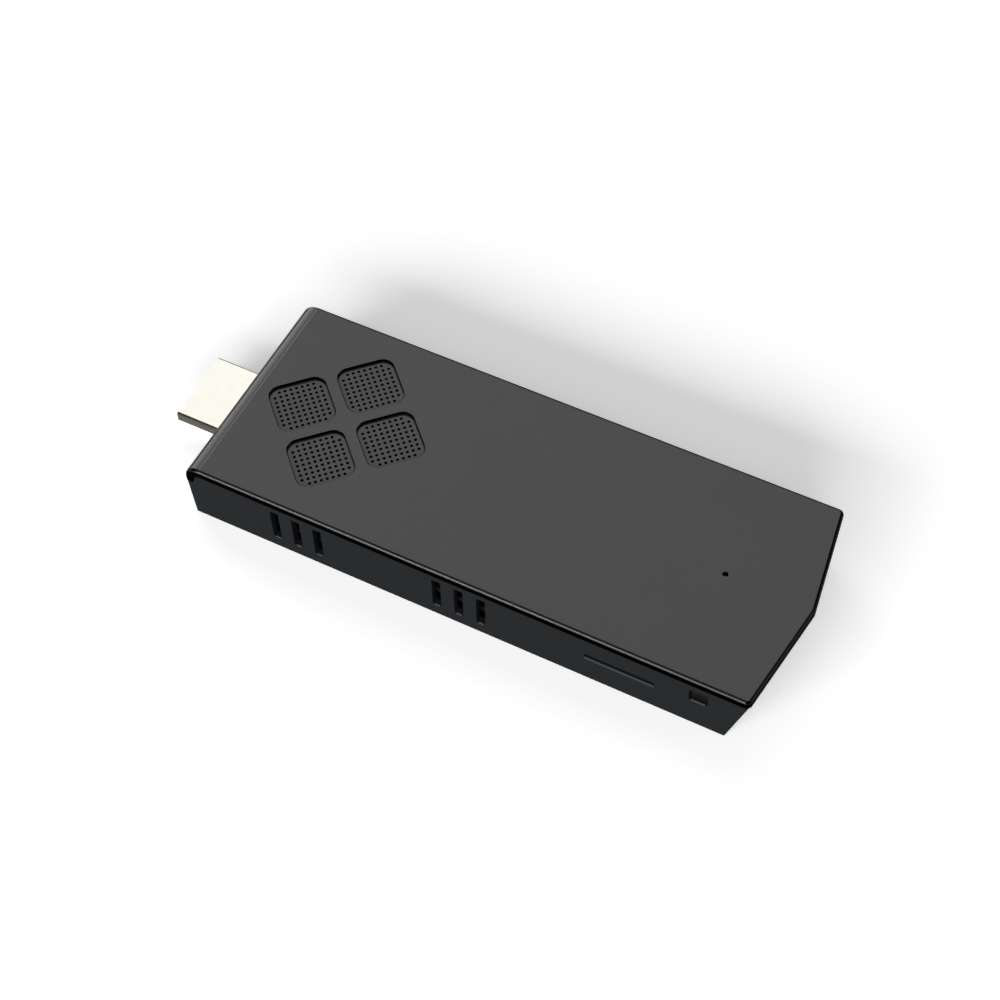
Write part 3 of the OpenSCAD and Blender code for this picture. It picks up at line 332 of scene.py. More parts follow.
@dataclass(frozen=True)
class CoverPlastic(Finish):
    """The cover's finish: charcoal grain, black edges, painted highlights on the near rim and the crease,
    satin grille floors with painted shade.

    A span holds two limits for a part of the surface's direction; between them a finish fades out or in.
    """

    face: Colour = (0.05, 0.05, 0.05)
    wall: Colour = (0.0, 0.0, 0.0)
    bevel: Colour = (0.02, 0.02, 0.02)
    # A painted highlight: the bright metal colour of the near rim.
    rim: Colour = (0.185, 0.185, 0.189)
    # A painted highlight: the bright metal colour of the line where the face starts to bend.
    crease: Colour = (0.19, 0.19, 0.19)
    # Painted shade: the dark metal colour of the satin grille floors, which darkens the recesses.
    satin: Colour = (0.067, 0.067, 0.068)
    satin_share: float = 0.7
    satin_below_mm: float = 12.8
    satin_fade_mm: float = 0.05
    # Nearer than this the rim gets the full painted highlight; elsewhere, such as the recess edges, a small
    # share.
    rim_past_mm: float = 17.0
    rim_fade_mm: float = 0.5
    inner_rim_highlight: float = 0.08
    face_roughness: float = 0.38
    face_rub: float = 0.03
    edge_roughness: float = 0.60
    rim_roughness: float = 0.30
    polish_roughness: float = 0.12
    specular: float = 1.0
    tint: float = 0.5
    grain_mm: float = 0.10
    depth_mm: float = 0.0025
    cloud_mm: float = 9.0
    drift: float = 0.015
    speck_share: float = 0.10
    speck_gain: float = 1.6
    speck_span: Span = (0.25, 0.75)
    turn_span: Span = (0.18, 0.32)
    bend_weight: float = 2.0
    bend_span: Span = (-0.64, -0.52)
    steep_span: Span = (0.40, 0.55)
    crease_start: Span = (-0.030, -0.015)
    crease_end: Span = (-0.100, -0.075)
    crease_level: Span = (0.02, 0.06)
    floor_span: Span = (0.95, 0.99)
    raised_span: Span = (0.35, 0.55)
    lean_span: Span = (-0.34, -0.24)
    beside_span: Span = (0.05, 0.25)

    def edge_share(self, recipe: Recipe) -> Socket:
        """Finds where the surface turns away from the cover's face.

        The turn is the largest of the parts of the surface's direction that look to the near side, to the
        chevron end and to the far side, the last one less twice the part that looks to the plug end.

        Args:
            recipe: The recipe that the nodes join.

        Returns:
            0 on the cover's face and on the upper half of the bend, 1 on rims, walls and the chevron end.
        """
        facing = recipe.facing()
        near = recipe.math("MULTIPLY", facing["Y"], -1.0)
        nose = recipe.math("MULTIPLY", recipe.math("MINIMUM", facing["X"], 0.0), self.bend_weight)
        far = recipe.math("ADD", facing["Y"], nose)
        turn = recipe.folded("MAXIMUM", near, far, facing["X"])
        turned = recipe.remap(turn, self.turn_span, RISE)
        bent = recipe.remap(facing["X"], self.bend_span, FALL)
        steep = recipe.remap(facing["Z"], self.steep_span, FALL)
        return recipe.folded("MAXIMUM", turned, bent, steep)

    def crease_highlight_share(self, recipe: Recipe) -> Socket:
        """Finds the line where the face starts to bend, where a highlight is painted.

        Args:
            recipe: The recipe that the nodes join.

        Returns:
            1 where the surface has just begun to lean towards the plug end, and 0 elsewhere.
        """
        facing = recipe.facing()
        begun = recipe.remap(facing["X"], self.crease_start, FALL)
        passed = recipe.remap(facing["X"], self.crease_end, RISE)
        level = recipe.remap(recipe.math("ABSOLUTE", facing["Y"]), self.crease_level, FALL)
        return recipe.folded("MULTIPLY", begun, passed, level)

    def satin_shade_part(self, recipe: Recipe) -> Socket:
        """Finds the floors of the grille's recesses, where painted shade darkens the satin.

        Args:
            recipe: The recipe that the nodes join.

        Returns:
            The share of satin where a level surface lies below the cover's face, and 0 elsewhere.
        """
        deep = (self.satin_below_mm - self.satin_fade_mm) * MM
        shallow = (self.satin_below_mm + self.satin_fade_mm) * MM
        sunk = recipe.remap(recipe.spot()["Z"], (deep, shallow), (self.satin_share, 0.0))
        level = recipe.remap(recipe.facing()["Z"], self.floor_span, RISE)
        return recipe.math("MULTIPLY", sunk, level)

    def rim_highlight_share(self, recipe: Recipe) -> Socket:
        """Finds where a highlight is painted along the cover's near rim.

        Args:
            recipe: The recipe that the nodes join.

        Returns:
            1 where the cover's edge leans to the near side, a small share where a recess's edge does, and 0
            elsewhere.
        """
        facing = recipe.facing()
        leaning = recipe.remap(facing["Y"], self.lean_span, FALL)
        beside = recipe.remap(recipe.math("ABSOLUTE", facing["X"]), self.beside_span, FALL)
        limits = (-(self.rim_past_mm + self.rim_fade_mm) * MM, -self.rim_past_mm * MM)
        outer = recipe.remap(recipe.spot()["Y"], limits, (1.0, self.inner_rim_highlight))
        return recipe.folded("MULTIPLY", leaning, beside, outer)

    def material(self) -> bpy.types.Material:
        """Makes the cover's finish.

        Returns:
            A material that goes from grained charcoal to black with the turn of the surface, with painted
            highlights on the near rim and the crease and painted shade on the grille floors.
        """
        recipe = Recipe(self.name)
        edge = self.edge_share(recipe)
        crease = self.crease_highlight_share(recipe)
        satin = self.satin_shade_part(recipe)
        rim = self.rim_highlight_share(recipe)
        raised = recipe.remap(recipe.facing()["Z"], self.raised_span, RISE)
        smooth = recipe.math("MAXIMUM", crease, satin)
        bare = recipe.math("MAXIMUM", edge, smooth)
        grain = recipe.noise(self.grain_mm, detail=3.0)
        tone = recipe.drifting(self.face, self.drift, recipe.noise(self.cloud_mm))
        specks = recipe.remap(grain, self.speck_span, (0.0, self.speck_share))
        speckled = recipe.mix(specks, tone, scaled(self.face, self.speck_gain))
        # Painted shade on the grille floors.
        with_floor_shade = recipe.mix(satin, speckled, scaled(self.satin))
        # A painted highlight along the crease.
        with_crease_highlight = recipe.mix(crease, with_floor_shade, scaled(self.crease))
        # The near rim's painted highlight over the bevel's near-black colour.
        bevel_with_highlight = recipe.mix(rim, scaled(self.bevel), scaled(self.rim))
        trim = recipe.mix(raised, scaled(self.wall), bevel_with_highlight)
        rub = recipe.remap(grain, NOISE_SPAN, (-self.face_rub, self.face_rub))
        rubbed = recipe.math("ADD", rub, self.face_roughness)
        face_gloss = recipe.blend(smooth, rubbed, self.polish_roughness)
        polish_gloss = recipe.blend(rim, self.polish_roughness, self.rim_roughness)
        trim_gloss = recipe.blend(raised, self.edge_roughness, polish_gloss)
        recipe.shader_values(
            Base_Color=recipe.mix(edge, with_crease_highlight, trim),
            Metallic=bare,
            Roughness=recipe.blend(edge, face_gloss, trim_gloss),
            Specular_IOR_Level=self.specular,
            Specular_Tint=(self.tint, self.tint, self.tint, 1.0),
        )
        grained = recipe.math("SUBTRACT", 1.0, bare)
        recipe.relief(recipe.math("MULTIPLY", grain, grained), self.depth_mm)
        return recipe.material


@dataclass(frozen=True)
class Metal(Finish):
    """Bare or plated metal: rolling lines along one axis and clouds of duller tarnish."""

    colour: Colour = (0.6, 0.6, 0.6)
    tarnish: Colour = (0.45, 0.45, 0.45)
    roughness: float = 0.25
    spread: float = 0.10
    grain_mm: float = 0.06
    stretch: Triple = (14.0, 1.0, 1.0)
    depth_mm: float = 0.001
    cloud_mm: float = 2.2
    dull_span: Span = (0.42, 0.72)
    smear_span: Span = (0.35, 0.75)

    def material(self) -> bpy.types.Material:
        """Makes the metal.

        Returns:
            A metallic material with drawn-out lines in gloss and relief and clouds of tarnish.
        """
        recipe = Recipe(self.name)
        lines = recipe.noise(self.grain_mm, detail=3.0, stretch=self.stretch)
        cloud = recipe.noise(self.cloud_mm, detail=4.0)
        dull = recipe.remap(cloud, self.dull_span, RISE)
        clouded = recipe.mix(dull, scaled(self.colour), scaled(self.tarnish))
        lined = recipe.remap(lines, NOISE_SPAN, (self.roughness - 0.5 * self.spread, self.roughness))
        smeared = recipe.remap(cloud, self.smear_span, (0.0, self.spread))
        recipe.shader_values(
            Base_Color=self.tone(recipe, clouded),
            Metallic=1.0,
            Roughness=recipe.math("ADD", lined, smeared),
        )
        recipe.relief(lines, self.depth_mm)
        return recipe.material


@dataclass(frozen=True)
class PlatedShell(Metal):
    """A plated shell, bright on its wide faces, with painted shade darkening its narrow sides."""

    # Painted shade: the darker colour of the narrow sides.
    side: Colour = (0.09, 0.087, 0.062)
    shade_side_span: Span = (0.20, 0.45)

    def tone(self, recipe: Recipe, plain: Socket) -> Socket:
        """Paints shade on the narrow sides, where the surface looks along Y."""
        shaded_sideways = recipe.remap(recipe.math("ABSOLUTE", recipe.facing()["Y"]), self.shade_side_span, RISE)
        return recipe.mix(shaded_sideways, plain, scaled(self.side))


@dataclass(frozen=True)
class Laminate(Finish):
    """A circuit board: solder mask over tracks, with plated pads and vias that show through."""

    mask: Colour = (0.005, 0.0055, 0.006)
    track: Colour = (0.008, 0.0085, 0.0095)
    pad: Colour = (0.75, 0.55, 0.22)
    track_mm: float = 1.3
    track_span: Span = (0.05, 0.11)
    via_mm: float = 2.1
    via_span: Span = (0.13, 0.17)
    cloud_mm: float = 5.0
    drift: float = 0.15
    gloss: Span = (0.38, 0.52)
    gloss_mm: float = 0.4
    specular: float = 0.2
    depth_mm: float = 0.02

    def material(self) -> bpy.types.Material:
        """Makes the board.

        Returns:
            A material with many-sided tracks, round plated vias and a glossy uneven mask.
        """
        recipe = Recipe(self.name)
        border = recipe.cells(self.track_mm, feature="DISTANCE_TO_EDGE")
        tracks = recipe.remap(border, self.track_span, FALL)
        vias = recipe.remap(recipe.cells(self.via_mm), self.via_span, FALL)
        mask = recipe.drifting(self.mask, self.drift, recipe.noise(self.cloud_mm, detail=3.0))
        lined = recipe.mix(tracks, mask, scaled(self.track))
        recipe.shader_values(
            Base_Color=recipe.mix(vias, lined, scaled(self.pad)),
            Metallic=vias,
            Roughness=recipe.remap(recipe.noise(self.gloss_mm), NOISE_SPAN, self.gloss),
            Specular_IOR_Level=self.specular,
        )
        recipe.relief(recipe.math("MAXIMUM", tracks, vias), self.depth_mm)
        return recipe.material


@dataclass(frozen=True)
class WoundCopper(Finish):
    """Enamelled wire wound in even turns, with painted shade in the gaps; a wave repeats after 2 pi over
    its rate times its scale.
    """

    colour: Colour = (0.62, 0.24, 0.09)
    wire_mm: float = 0.12
    wave_rate: float = 20.0
    distortion: float = 0.4
    # Painted shade: the share of the wire's colour left in the gaps between turns.
    painted_gap_shade: float = 0.35
    metallic: float = 0.9
    gloss: Span = (0.22, 0.38)
    gloss_mm: float = 0.8
    depth_mm: float = 0.05

    def material(self) -> bpy.types.Material:
        """Makes the winding.

        Returns:
            A metallic material with one ridge for each turn and painted shade in the gaps between the
            turns.
        """
        recipe = Recipe(self.name)
        scale = 2.0 * math.pi / (self.wave_rate * self.wire_mm * MM)
        values = {"Vector": recipe.place, "Scale": scale, "Distortion": self.distortion, "Detail": 1.0}
        turns = recipe.node("ShaderNodeTexWave", values, bands_direction="Z").outputs["Fac"]
        recipe.shader_values(
            Base_Color=recipe.mix(turns, scaled(self.colour, self.painted_gap_shade), scaled(self.colour)),
            Metallic=self.metallic,
            Roughness=recipe.remap(recipe.noise(self.gloss_mm), NOISE_SPAN, self.gloss),
        )
        recipe.relief(turns, self.depth_mm)
        return recipe.material


@dataclass(frozen=True)
class SmokedAcrylic(Finish):
    """Smoked acrylic with faint flow lines."""

    colour: Colour = (0.1, 0.1, 0.1)
    flow_mm: float = 1.2
    flow_stretch: Triple = (1.0, 1.0, 6.0)
    flow_shade: float = 0.96
    gloss: Span = (0.03, 0.09)
    refraction: float = 1.49
    depth_mm: float = 0.002

    def material(self) -> bpy.types.Material:
        """Makes the acrylic.

        Returns:
            A see-through material with slightly uneven gloss and soft flow lines.
        """
        recipe = Recipe(self.name)
        flow = recipe.noise(self.flow_mm, detail=1.0, stretch=self.flow_stretch)
        recipe.shader_values(
            Base_Color=recipe.mix(flow, scaled(self.colour, self.flow_shade), scaled(self.colour)),
            Roughness=recipe.remap(flow, NOISE_SPAN, self.gloss),
            Transmission_Weight=1.0,
            IOR=self.refraction,
        )
        recipe.relief(flow, self.depth_mm)
        return recipe.material


# After its colour a plastic gives roughness, specular, grain_mm, depth_mm, drift and cloud_mm.
# A metal gives colour, tarnish, roughness, spread, grain_mm, stretch and depth_mm.
FINISHES: Mapping[Slot, Finish] = {
    Slot.COVER: CoverPlastic("charcoal_cover", face=shade(66, 66, 67)),
    Slot.SHELL: ShellPlastic("black_shell", shade(24, 26, 28), 0.60, 0.03, 0.14, 0.005, 0.12),
    Slot.BUTTON: MouldedPlastic("black_button", shade(11, 11, 12), 0.60, 0.06, 0.10, 0.003, 0.10),
    Slot.PLUG: PlatedShell(
        "gold_plug", (0.97, 0.95, 0.86), (0.965, 0.945, 0.85), 0.24, 0.02, 0.05, (18.0, 1.0, 1.0)
    ),
    Slot.GOLD: Metal(
        "gold_contacts", (0.90, 0.68, 0.30), (0.74, 0.52, 0.20), 0.22, 0.08, 0.05, (10.0, 1.0, 1.0)
    ),
    Slot.PORT: Metal(
        "tinned_sheet", (0.72, 0.72, 0.70), (0.52, 0.52, 0.50), 0.26, 0.12, 0.06, (1.0, 16.0, 1.0)
    ),
    Slot.SCREW: Metal(
        "blackened_steel", (0.10, 0.10, 0.105), (0.22, 0.21, 0.20), 0.34, 0.12, 0.05, (1.0, 1.0, 1.0)
    ),
    Slot.BLACK_INSULATOR: MouldedPlastic("black_insulator", shade(22, 22, 23), 0.45, 0.35, 0.20),
    Slot.BLUE_INSULATOR: MouldedPlastic("blue_insulator", shade(20, 70, 165), 0.42, 0.4, 0.20, drift=0.10),
    Slot.WHITE_INSULATOR: MouldedPlastic(
        "white_insulator", shade(222, 220, 212), 0.45, 0.4, 0.20, drift=0.05
    ),
    Slot.BOARD: Laminate("board_laminate"),
    Slot.CHIP: MouldedPlastic("chip_epoxy", shade(34, 34, 36), 0.62, 0.3, 0.05, 0.006, 0.22, 2.5),
    Slot.COIL: MouldedPlastic("coil_ferrite", shade(58, 58, 60), 0.58, 0.4, 0.08, 0.010, 0.25, 1.5),
    Slot.CAPACITOR: MouldedPlastic("capacitor_case", shade(170, 120, 40), 0.4, 0.4, 0.1, 0.004, 0.12, 2.0),
    Slot.SINK: Metal(
        "sink_aluminium", (0.56, 0.57, 0.58), (0.44, 0.45, 0.46), 0.36, 0.12, 0.07, (20.0, 1.0, 1.0)
    ),
    Slot.PAD: MouldedPlastic("thermal_silicone", shade(150, 160, 168), 0.75, 0.2, 0.30, 0.020, 0.10, 2.0),
    Slot.FAN: MouldedPlastic("fan_plastic", shade(24, 24, 25), 0.48, 0.35),
    Slot.BEARING: Metal(
        "sintered_bronze", (0.55, 0.36, 0.17), (0.38, 0.24, 0.11), 0.42, 0.12, 0.05, (1.0, 1.0, 1.0), 0.006
    ),
    Slot.STATOR: WoundCopper("stator_winding"),
    Slot.MAGNET: MouldedPlastic("bonded_magnet", shade(40, 39, 39), 0.60, 0.4, 0.06, 0.008, 0.25, 1.2),
    Slot.LEAD_RED: MouldedPlastic("red_wire", shade(170, 26, 24), 0.40, 0.4, 0.25, 0.003, 0.10, 3.0),
    Slot.LEAD_BLACK: MouldedPlastic("black_wire", shade(26, 26, 27), 0.40, 0.4, 0.25, 0.003, 0.10, 3.0),
    Slot.ANTENNA: Metal(
        "antenna_foil", (0.80, 0.45, 0.25), (0.62, 0.33, 0.18), 0.30, 0.12, 0.08, (1.0, 12.0, 1.0)
    ),
    Slot.LAMP: MouldedPlastic("lamp_body", shade(235, 232, 214), 0.35, 0.45, 0.10, 0.002, 0.04, 0.6),
    Slot.ACRYLIC: SmokedAcrylic("smoked_acrylic", (0.06, 0.06, 0.065)),
}


class Wardrobe:
    """Makes each finish once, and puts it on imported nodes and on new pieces."""

    def __init__(self) -> None:
        """Starts with no finish made."""
        self.made: dict[Slot, bpy.types.Material] = {}

    def material(self, slot: Slot) -> bpy.types.Material:
        """Returns a slot's material, made when it is first asked for."""
        if slot not in self.made:
            self.made[slot] = FINISHES[slot].material()
        return self.made[slot]

    def dress(self, slot: Slot, *nodes: str) -> None:
        """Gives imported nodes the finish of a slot.

        Args:
            slot: The slot whose finish they take.
            *nodes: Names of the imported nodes.
        """
        for node in nodes:
            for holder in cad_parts[node].material_slots:
                holder.material = self.material(slot)
            LOG.info("node %s wears %s", node, slot.value)


def grid_quads(rows: int, columns: int) -> np.ndarray:
    """Numbers the corners of the quads of a grid whose columns close into a ring.

    Each point makes a quad with its neighbours in the next row and the next column.

    Args:
        rows: Rows of points.
        columns: Points in a row.

    Returns:
        Quads by 4; the points are counted row by row.
    """
    index = np.arange(rows * columns).reshape(rows, columns)
    index = np.concatenate([index, index[:, :1]], axis=1)
    corners = [index[:-1, :-1], index[:-1, 1:], index[1:, 1:], index[1:, :-1]]
    return np.stack(corners, axis=-1).reshape(-1, 4)


@dataclass
class Surface:
    """Patches of a surface, gathered as arrays and joined into one mesh; points are in millimetres."""

    points: list[np.ndarray] = field(default_factory=list)
    faces: list[np.ndarray] = field(default_factory=list)
    count: int = 0
    join_within: float = 1e-6
    flat_within: float = 1e-7
    sharp_degrees: float = 35.0

    def patch(self, grid: np.ndarray) -> None:
        """Adds a grid of points as quads.

        Args:
            grid: Rows by columns by 3; the columns close into a ring.
        """
        rows, columns = grid.shape[:2]
        self.points.append(grid.reshape(-1, 3))
        self.faces.append(self.count + grid_quads(rows, columns))
        self.count += rows * columns

    def piece(self, name: str, slot: Slot, wardrobe: Wardrobe) -> bpy.types.Object:
        """Makes one finished piece of all patches, which rides on the stick.

        Points at one place are joined, faces without area go, and every face is turned outwards.

        Args:
            name: Name of the piece.
            slot: Slot whose finish it takes.
            wardrobe: Where its material comes from.

        Returns:
            The piece, at the origin, with its place in its mesh.
        """
        mesh = bpy.data.meshes.new(name)
        points = np.concatenate(self.points) * MM
        mesh.from_pydata(points.tolist(), [], np.concatenate(self.faces).tolist())
        tidy = bmesh.new()
        tidy.from_mesh(mesh)
        bmesh.ops.remove_doubles(tidy, verts=tidy.verts, dist=self.join_within)
        bmesh.ops.dissolve_degenerate(tidy, edges=tidy.edges, dist=self.flat_within)
        bmesh.ops.recalc_face_normals(tidy, faces=tidy.faces)
        tidy.to_mesh(mesh)
        tidy.free()
        mesh.shade_smooth()
        mesh.set_sharp_from_angle(angle=math.radians(self.sharp_degrees))
        mesh.materials.append(wardrobe.material(slot))
        piece = bpy.data.objects.new(name, mesh)
        bpy.context.scene.collection.objects.link(piece)
        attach(piece, STICK_BODY)
        LOG.info("piece %s: %d faces on %s", name, len(mesh.polygons), STICK_BODY)
        return piece


def solids_of(node: str) -> np.ndarray:
    """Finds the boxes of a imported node's separate solids.

    Corners at one place are joined first. Then every triangle gives its corners the lowest label among
    them, again and again, until nothing changes, so that the corners of a solid share one label.

    Args:
        node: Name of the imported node.

    Returns:
        Solids by lowest and highest corner by X, Y and Z, in millimetres, sorted by the lowest corner.
    """
    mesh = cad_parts[node].data
    points = np.empty(len(mesh.vertices) * 3, np.float32)
    mesh.vertices.foreach_get("co", points)
    spots, joined = np.unique(np.round(points.reshape(-1, 3) / MM, 3), axis=0, return_inverse=True)
    corners = np.empty(len(mesh.loops), np.int32)
    mesh.loops.foreach_get("vertex_index", corners)
    triangles = joined.ravel()[corners].reshape(-1, 3)
    label = np.arange(len(spots))
    settled = False
    while not settled:
        lower = label.copy()
        np.minimum.at(lower, triangles.ravel(), np.repeat(label[triangles].min(axis=1), 3))
        settled = bool(np.array_equal(lower, label))
        label = lower
    boxes = [(spots[label == one].min(axis=0), spots[label == one].max(axis=0)) for one in np.unique(label)]
    boxes = np.array(boxes)
    return boxes[np.lexsort(boxes[:, 0, ::-1].T)]


@dataclass(frozen=True)
class ScrewShape:
    """A cross-head screw with a rolled thread, worked out about its own axis."""

    head_h_mm: float
    shank_d_mm: float
    pitch_mm: float
    head_up: bool
    arm_w_mm: float = 0.5
    arm_reach: float = 0.62
    sink_share: float = 0.55
    edge_mm: float = 0.16
    thread_mm: float = 0.16
    tip_taper: Triple = (0.7, 0.45, 0.0)
    tip_clear: float = 0.5
    tip_from: float = 0.3
    arm_columns: int = 5
    ring_rows: int = 5
    turn_rows: int = 6
    first_ring: float = 1.05
    least_mm: float = 1e-6
    angle_slack: float = 1e-3

    def head_face(self, radius: float) -> tuple[np.ndarray, np.ndarray, np.ndarray]:
        """Works out the driver's cross in the head.

        Rows are circles. The columns of a quarter turn lie half in the cross's arm and half beside it. The
        arm's half angle on a circle is the arcsine of its half width over the circle's radius, at most an
        eighth of a turn, so that the arms keep straight sides.

        Args:
            radius: Radius of the head's flat face.

        Returns:
            The angle, the radius and the depth of every point.
        """
        reach = radius * self.arm_reach
        middle = self.arm_w_mm * math.sqrt(0.5)
        arm_rings = np.linspace(middle * self.first_ring, reach, self.ring_rows)
        rings = np.concatenate([[0.0, middle], arm_rings, [reach, radius]])
        inside = np.concatenate([np.ones(len(rings) - 2), np.zeros(2)])[:, None]
        sine = np.clip(0.5 * self.arm_w_mm / np.maximum(rings, self.least_mm), 0.0, math.sqrt(0.5))
        half = np.arcsin(sine)[:, None]
        arm = half * np.linspace(-1.0, 1.0, self.arm_columns)
        beside = half + (0.5 * math.pi - 2.0 * half) * np.linspace(0.0, 1.0, self.arm_columns)
        quarter = np.concatenate([arm, beside], axis=1)
        closed = (half > 0.25 * math.pi - self.angle_slack).astype(float)
        ones = np.ones((1, self.arm_columns))
        sunk = np.concatenate([ones * inside, ones * inside * closed], axis=1)
        turns = 0.5 * math.pi * np.arange(4)
        angle = np.concatenate([quarter + turn for turn in turns], axis=1)
        depth = np.tile(sunk, (1, 4)) * self.head_h_mm * self.sink_share
        return angle, np.broadcast_to(rings[:, None], angle.shape), depth

    def grid(self, box: np.ndarray) -> np.ndarray:
        """Works out one screw that fills a box.

        Going down from the middle of the head the rows are the cross, the rounded rim, the head's side and
        underside, the thread and the point. On the thread the radius is the shank's less a triangle wave of
        the height over the pitch plus the turn, so that the crest climbs once a turn.

        Args:
            box: Lowest and highest corner of the solid that the screw stands for.

        Returns:
            Rows by columns by 3, in millimetres.
        """
        radius = 0.5 * (box[1, 0] - box[0, 0])
        length = box[1, 2] - box[0, 2]
        shank = 0.5 * self.shank_d_mm
        face_angle, face_radius, face_depth = self.head_face(radius - self.edge_mm)
        turn = face_angle[-1]
        across_row = np.ones((1, len(turn)))
        rim = np.linspace(0.0, 0.5 * math.pi, self.ring_rows)[1:]
        side_radius = np.concatenate([radius - self.edge_mm * (1.0 - np.sin(rim)), [radius, shank]])
        side_depth = np.concatenate([self.edge_mm * (1.0 - np.cos(rim)), [self.head_h_mm, self.head_h_mm]])
        thread_end = length - self.shank_d_mm * self.tip_clear
        down = np.arange(self.head_h_mm, thread_end, self.pitch_mm / self.turn_rows)[1:, None]
        wave = np.abs(((down / self.pitch_mm + turn / (2.0 * math.pi)) % 1.0) * 2.0 - 1.0)
        fade = np.clip((down - self.head_h_mm) / self.pitch_mm, 0.0, 1.0)
        tip_radius = shank * np.array(self.tip_taper)
        tip_depth = np.array([length - self.shank_d_mm * self.tip_from, length, length])
        face = np.stack([face_radius, face_depth])
        side = np.stack([side_radius, side_depth])[..., None] * across_row
        thread = np.stack([shank - self.thread_mm * wave * fade, down * across_row])
        tip = np.stack([tip_radius, tip_depth])[..., None] * across_row
        all_radius, all_depth = np.concatenate([face, side, thread, tip], axis=1)
        rest = np.broadcast_to(turn, (len(all_radius) - len(face_angle), len(turn)))
        all_angle = np.concatenate([face_angle, rest])
        middle = 0.5 * (box[0] + box[1])
        height = box[1, 2] - all_depth if self.head_up else box[0, 2] + all_depth
        across = middle[0] + all_radius * np.cos(all_angle)
        along = middle[1] + all_radius * np.sin(all_angle)
        return np.stack([across, along, height], axis=-1)


@dataclass
class Fasteners:
    """The screws that hold the case, the board and the cooler."""

    wardrobe: Wardrobe
    large: ScrewShape = ScrewShape(1.1, 1.74, 0.6, head_up=False, arm_w_mm=0.55)
    small: ScrewShape = ScrewShape(
        0.6, 1.34, 0.4, head_up=True, arm_w_mm=0.45, edge_mm=0.12, thread_mm=0.12
    )

    def build(self) -> None:
        """Makes the three sets of screws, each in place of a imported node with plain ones."""
        for use, shape in (("case", self.large), ("board", self.small), ("cooler", self.small)):
            node = f"{use}_screws"
            surface = Surface()
            for box in solids_of(node):
                surface.patch(shape.grid(box))
            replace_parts(surface.piece(f"{use}_screw_set", Slot.SCREW, self.wardrobe), node)


@dataclass(frozen=True)
class SpringShape:
    """A flat contact spring: a rounded strip that bows out near its free end and has a round tip."""

    bow_mm: float
    bow_from: float = 0.45
    tip_mm: float = 0.35
    corner_power: float = 0.35
    rows: int = 40
    columns: int = 12

    def section(self, width: float, thickness: float) -> tuple[np.ndarray, np.ndarray]:
        """Works out the strip's cross-section, a rectangle with round corners.

        A superellipse: the cosine and sine of the turn, each to the corner power with its sign kept.

        Args:
            width: Full width of the strip.
            thickness: Full thickness.

        Returns:
            Offsets across and offsets in height, one for each column.
        """
        turn = np.linspace(0.0, 2.0 * math.pi, self.columns, endpoint=False) + math.pi / self.columns
        wave = np.stack([np.cos(turn), np.sin(turn)])
        across, height = 0.5 * np.sign(wave) * np.abs(wave) ** self.corner_power
        return width * across, thickness * height

    def grid(
        self, start: np.ndarray, end: np.ndarray, outward: float, width: float, thickness: float
    ) -> np.ndarray:
        """Carries the section from the fixed end to the free end.

        Beyond the start of the bow the height follows a squared sine hump. Towards the tip the section
        narrows as a quarter circle does. It is a point at both ends, which closes them.

        Args:
            start: Middle of the fixed end.
            end: Middle of the free end.
            outward: 1 where the spring bows up, -1 where it bows down.
            width: Full width of the strip.
            thickness: Full thickness.

        Returns:
            Rows by columns by 3, in millimetres.
        """
        share = np.linspace(0.0, 1.0, self.rows)
        up = np.array([0.0, 0.0, 1.0])
        travel = end - start
        length = float(np.linalg.norm(travel))
        side = np.cross(up, travel / length)
        hump = np.sin(np.clip((share - self.bow_from) / (1.0 - self.bow_from), 0.0, 1.0) * math.pi) ** 2
        near_tip = np.clip((share * length - (length - self.tip_mm)) / self.tip_mm, 0.0, 1.0)
        narrow = np.sqrt(np.clip(1.0 - near_tip**2, 0.0, 1.0))[:, None]
        narrow[0] = 0.0
        across, height = self.section(width, thickness)
        path = start + share[:, None] * travel
        path[:, 2] += outward * self.bow_mm * hump
        offset_side = (narrow * across)[..., None] * side
        offset_up = (narrow * height)[..., None] * up
        return path[:, None, :] + offset_side + offset_up


class Run(Enum):
    """Which way a row of contacts points: its long axis and the sign towards the free end."""

    NOSE = (0, -1)
    FAR = (1, 1)
    NEAR = (1, -1)


@dataclass
class ContactRow:
    """The contact springs of a connector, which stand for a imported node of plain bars.

    The bows give the side that each level of springs bows to, from the lowest level up.
    """

    connector: str
    run: Run
    shape: SpringShape
    bows: Sequence[float]
    wardrobe: Wardrobe

    def build(self) -> None:
        """Makes the springs, each in the place of its bar."""
        node = f"{self.connector}_contacts"
        axis, sign = self.run.value
        surface = Surface()
        boxes = solids_of(node)
        levels = np.unique(np.round(boxes[:, 0, 2], 2))
        for low, high in boxes:
            start = 0.5 * (low + high)
            end = start.copy()
            start[axis], end[axis] = (low[axis], high[axis])[::sign]
            size = high - low
            bow = self.bows[int(np.argmin(np.abs(levels - low[2])))]
            surface.patch(self.shape.grid(start, end, bow, size[1 - axis], size[2]))
        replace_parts(surface.piece(f"{self.connector}_springs", Slot.GOLD, self.wardrobe), node)


@dataclass
class Assembly:
    """A sub-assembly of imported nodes, listed by the finish that they wear."""

    WEARS: ClassVar[Wears] = {}

    wardrobe: Wardrobe

    def build(self) -> None:
        """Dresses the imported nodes."""
        for slot, nodes in self.WEARS.items():
            self.wardrobe.dress(slot, *nodes)


@dataclass
class Case(Assembly):
    """The charcoal cover and the black shell."""

    WEARS: ClassVar[Wears] = {Slot.COVER: ("top_cover",), Slot.SHELL: ("lower_shell",)}


@dataclass
class VideoPlug(Assembly):
    """The plug at the nose: plated shell, insulator and two rows of contacts."""

    WEARS: ClassVar[Wears] = {Slot.PLUG: ("plug_shell",), Slot.BLACK_INSULATOR: ("plug_core",)}

    spring: SpringShape = SpringShape(bow_mm=0.12, bow_from=0.55)
    bows: Sequence[float] = (1.0, -1.0)

    def build(self) -> None:
        """Dresses the shell and the core and makes the contact springs."""
        super().build()
        ContactRow("plug", Run.NOSE, self.spring, self.bows, self.wardrobe).build()


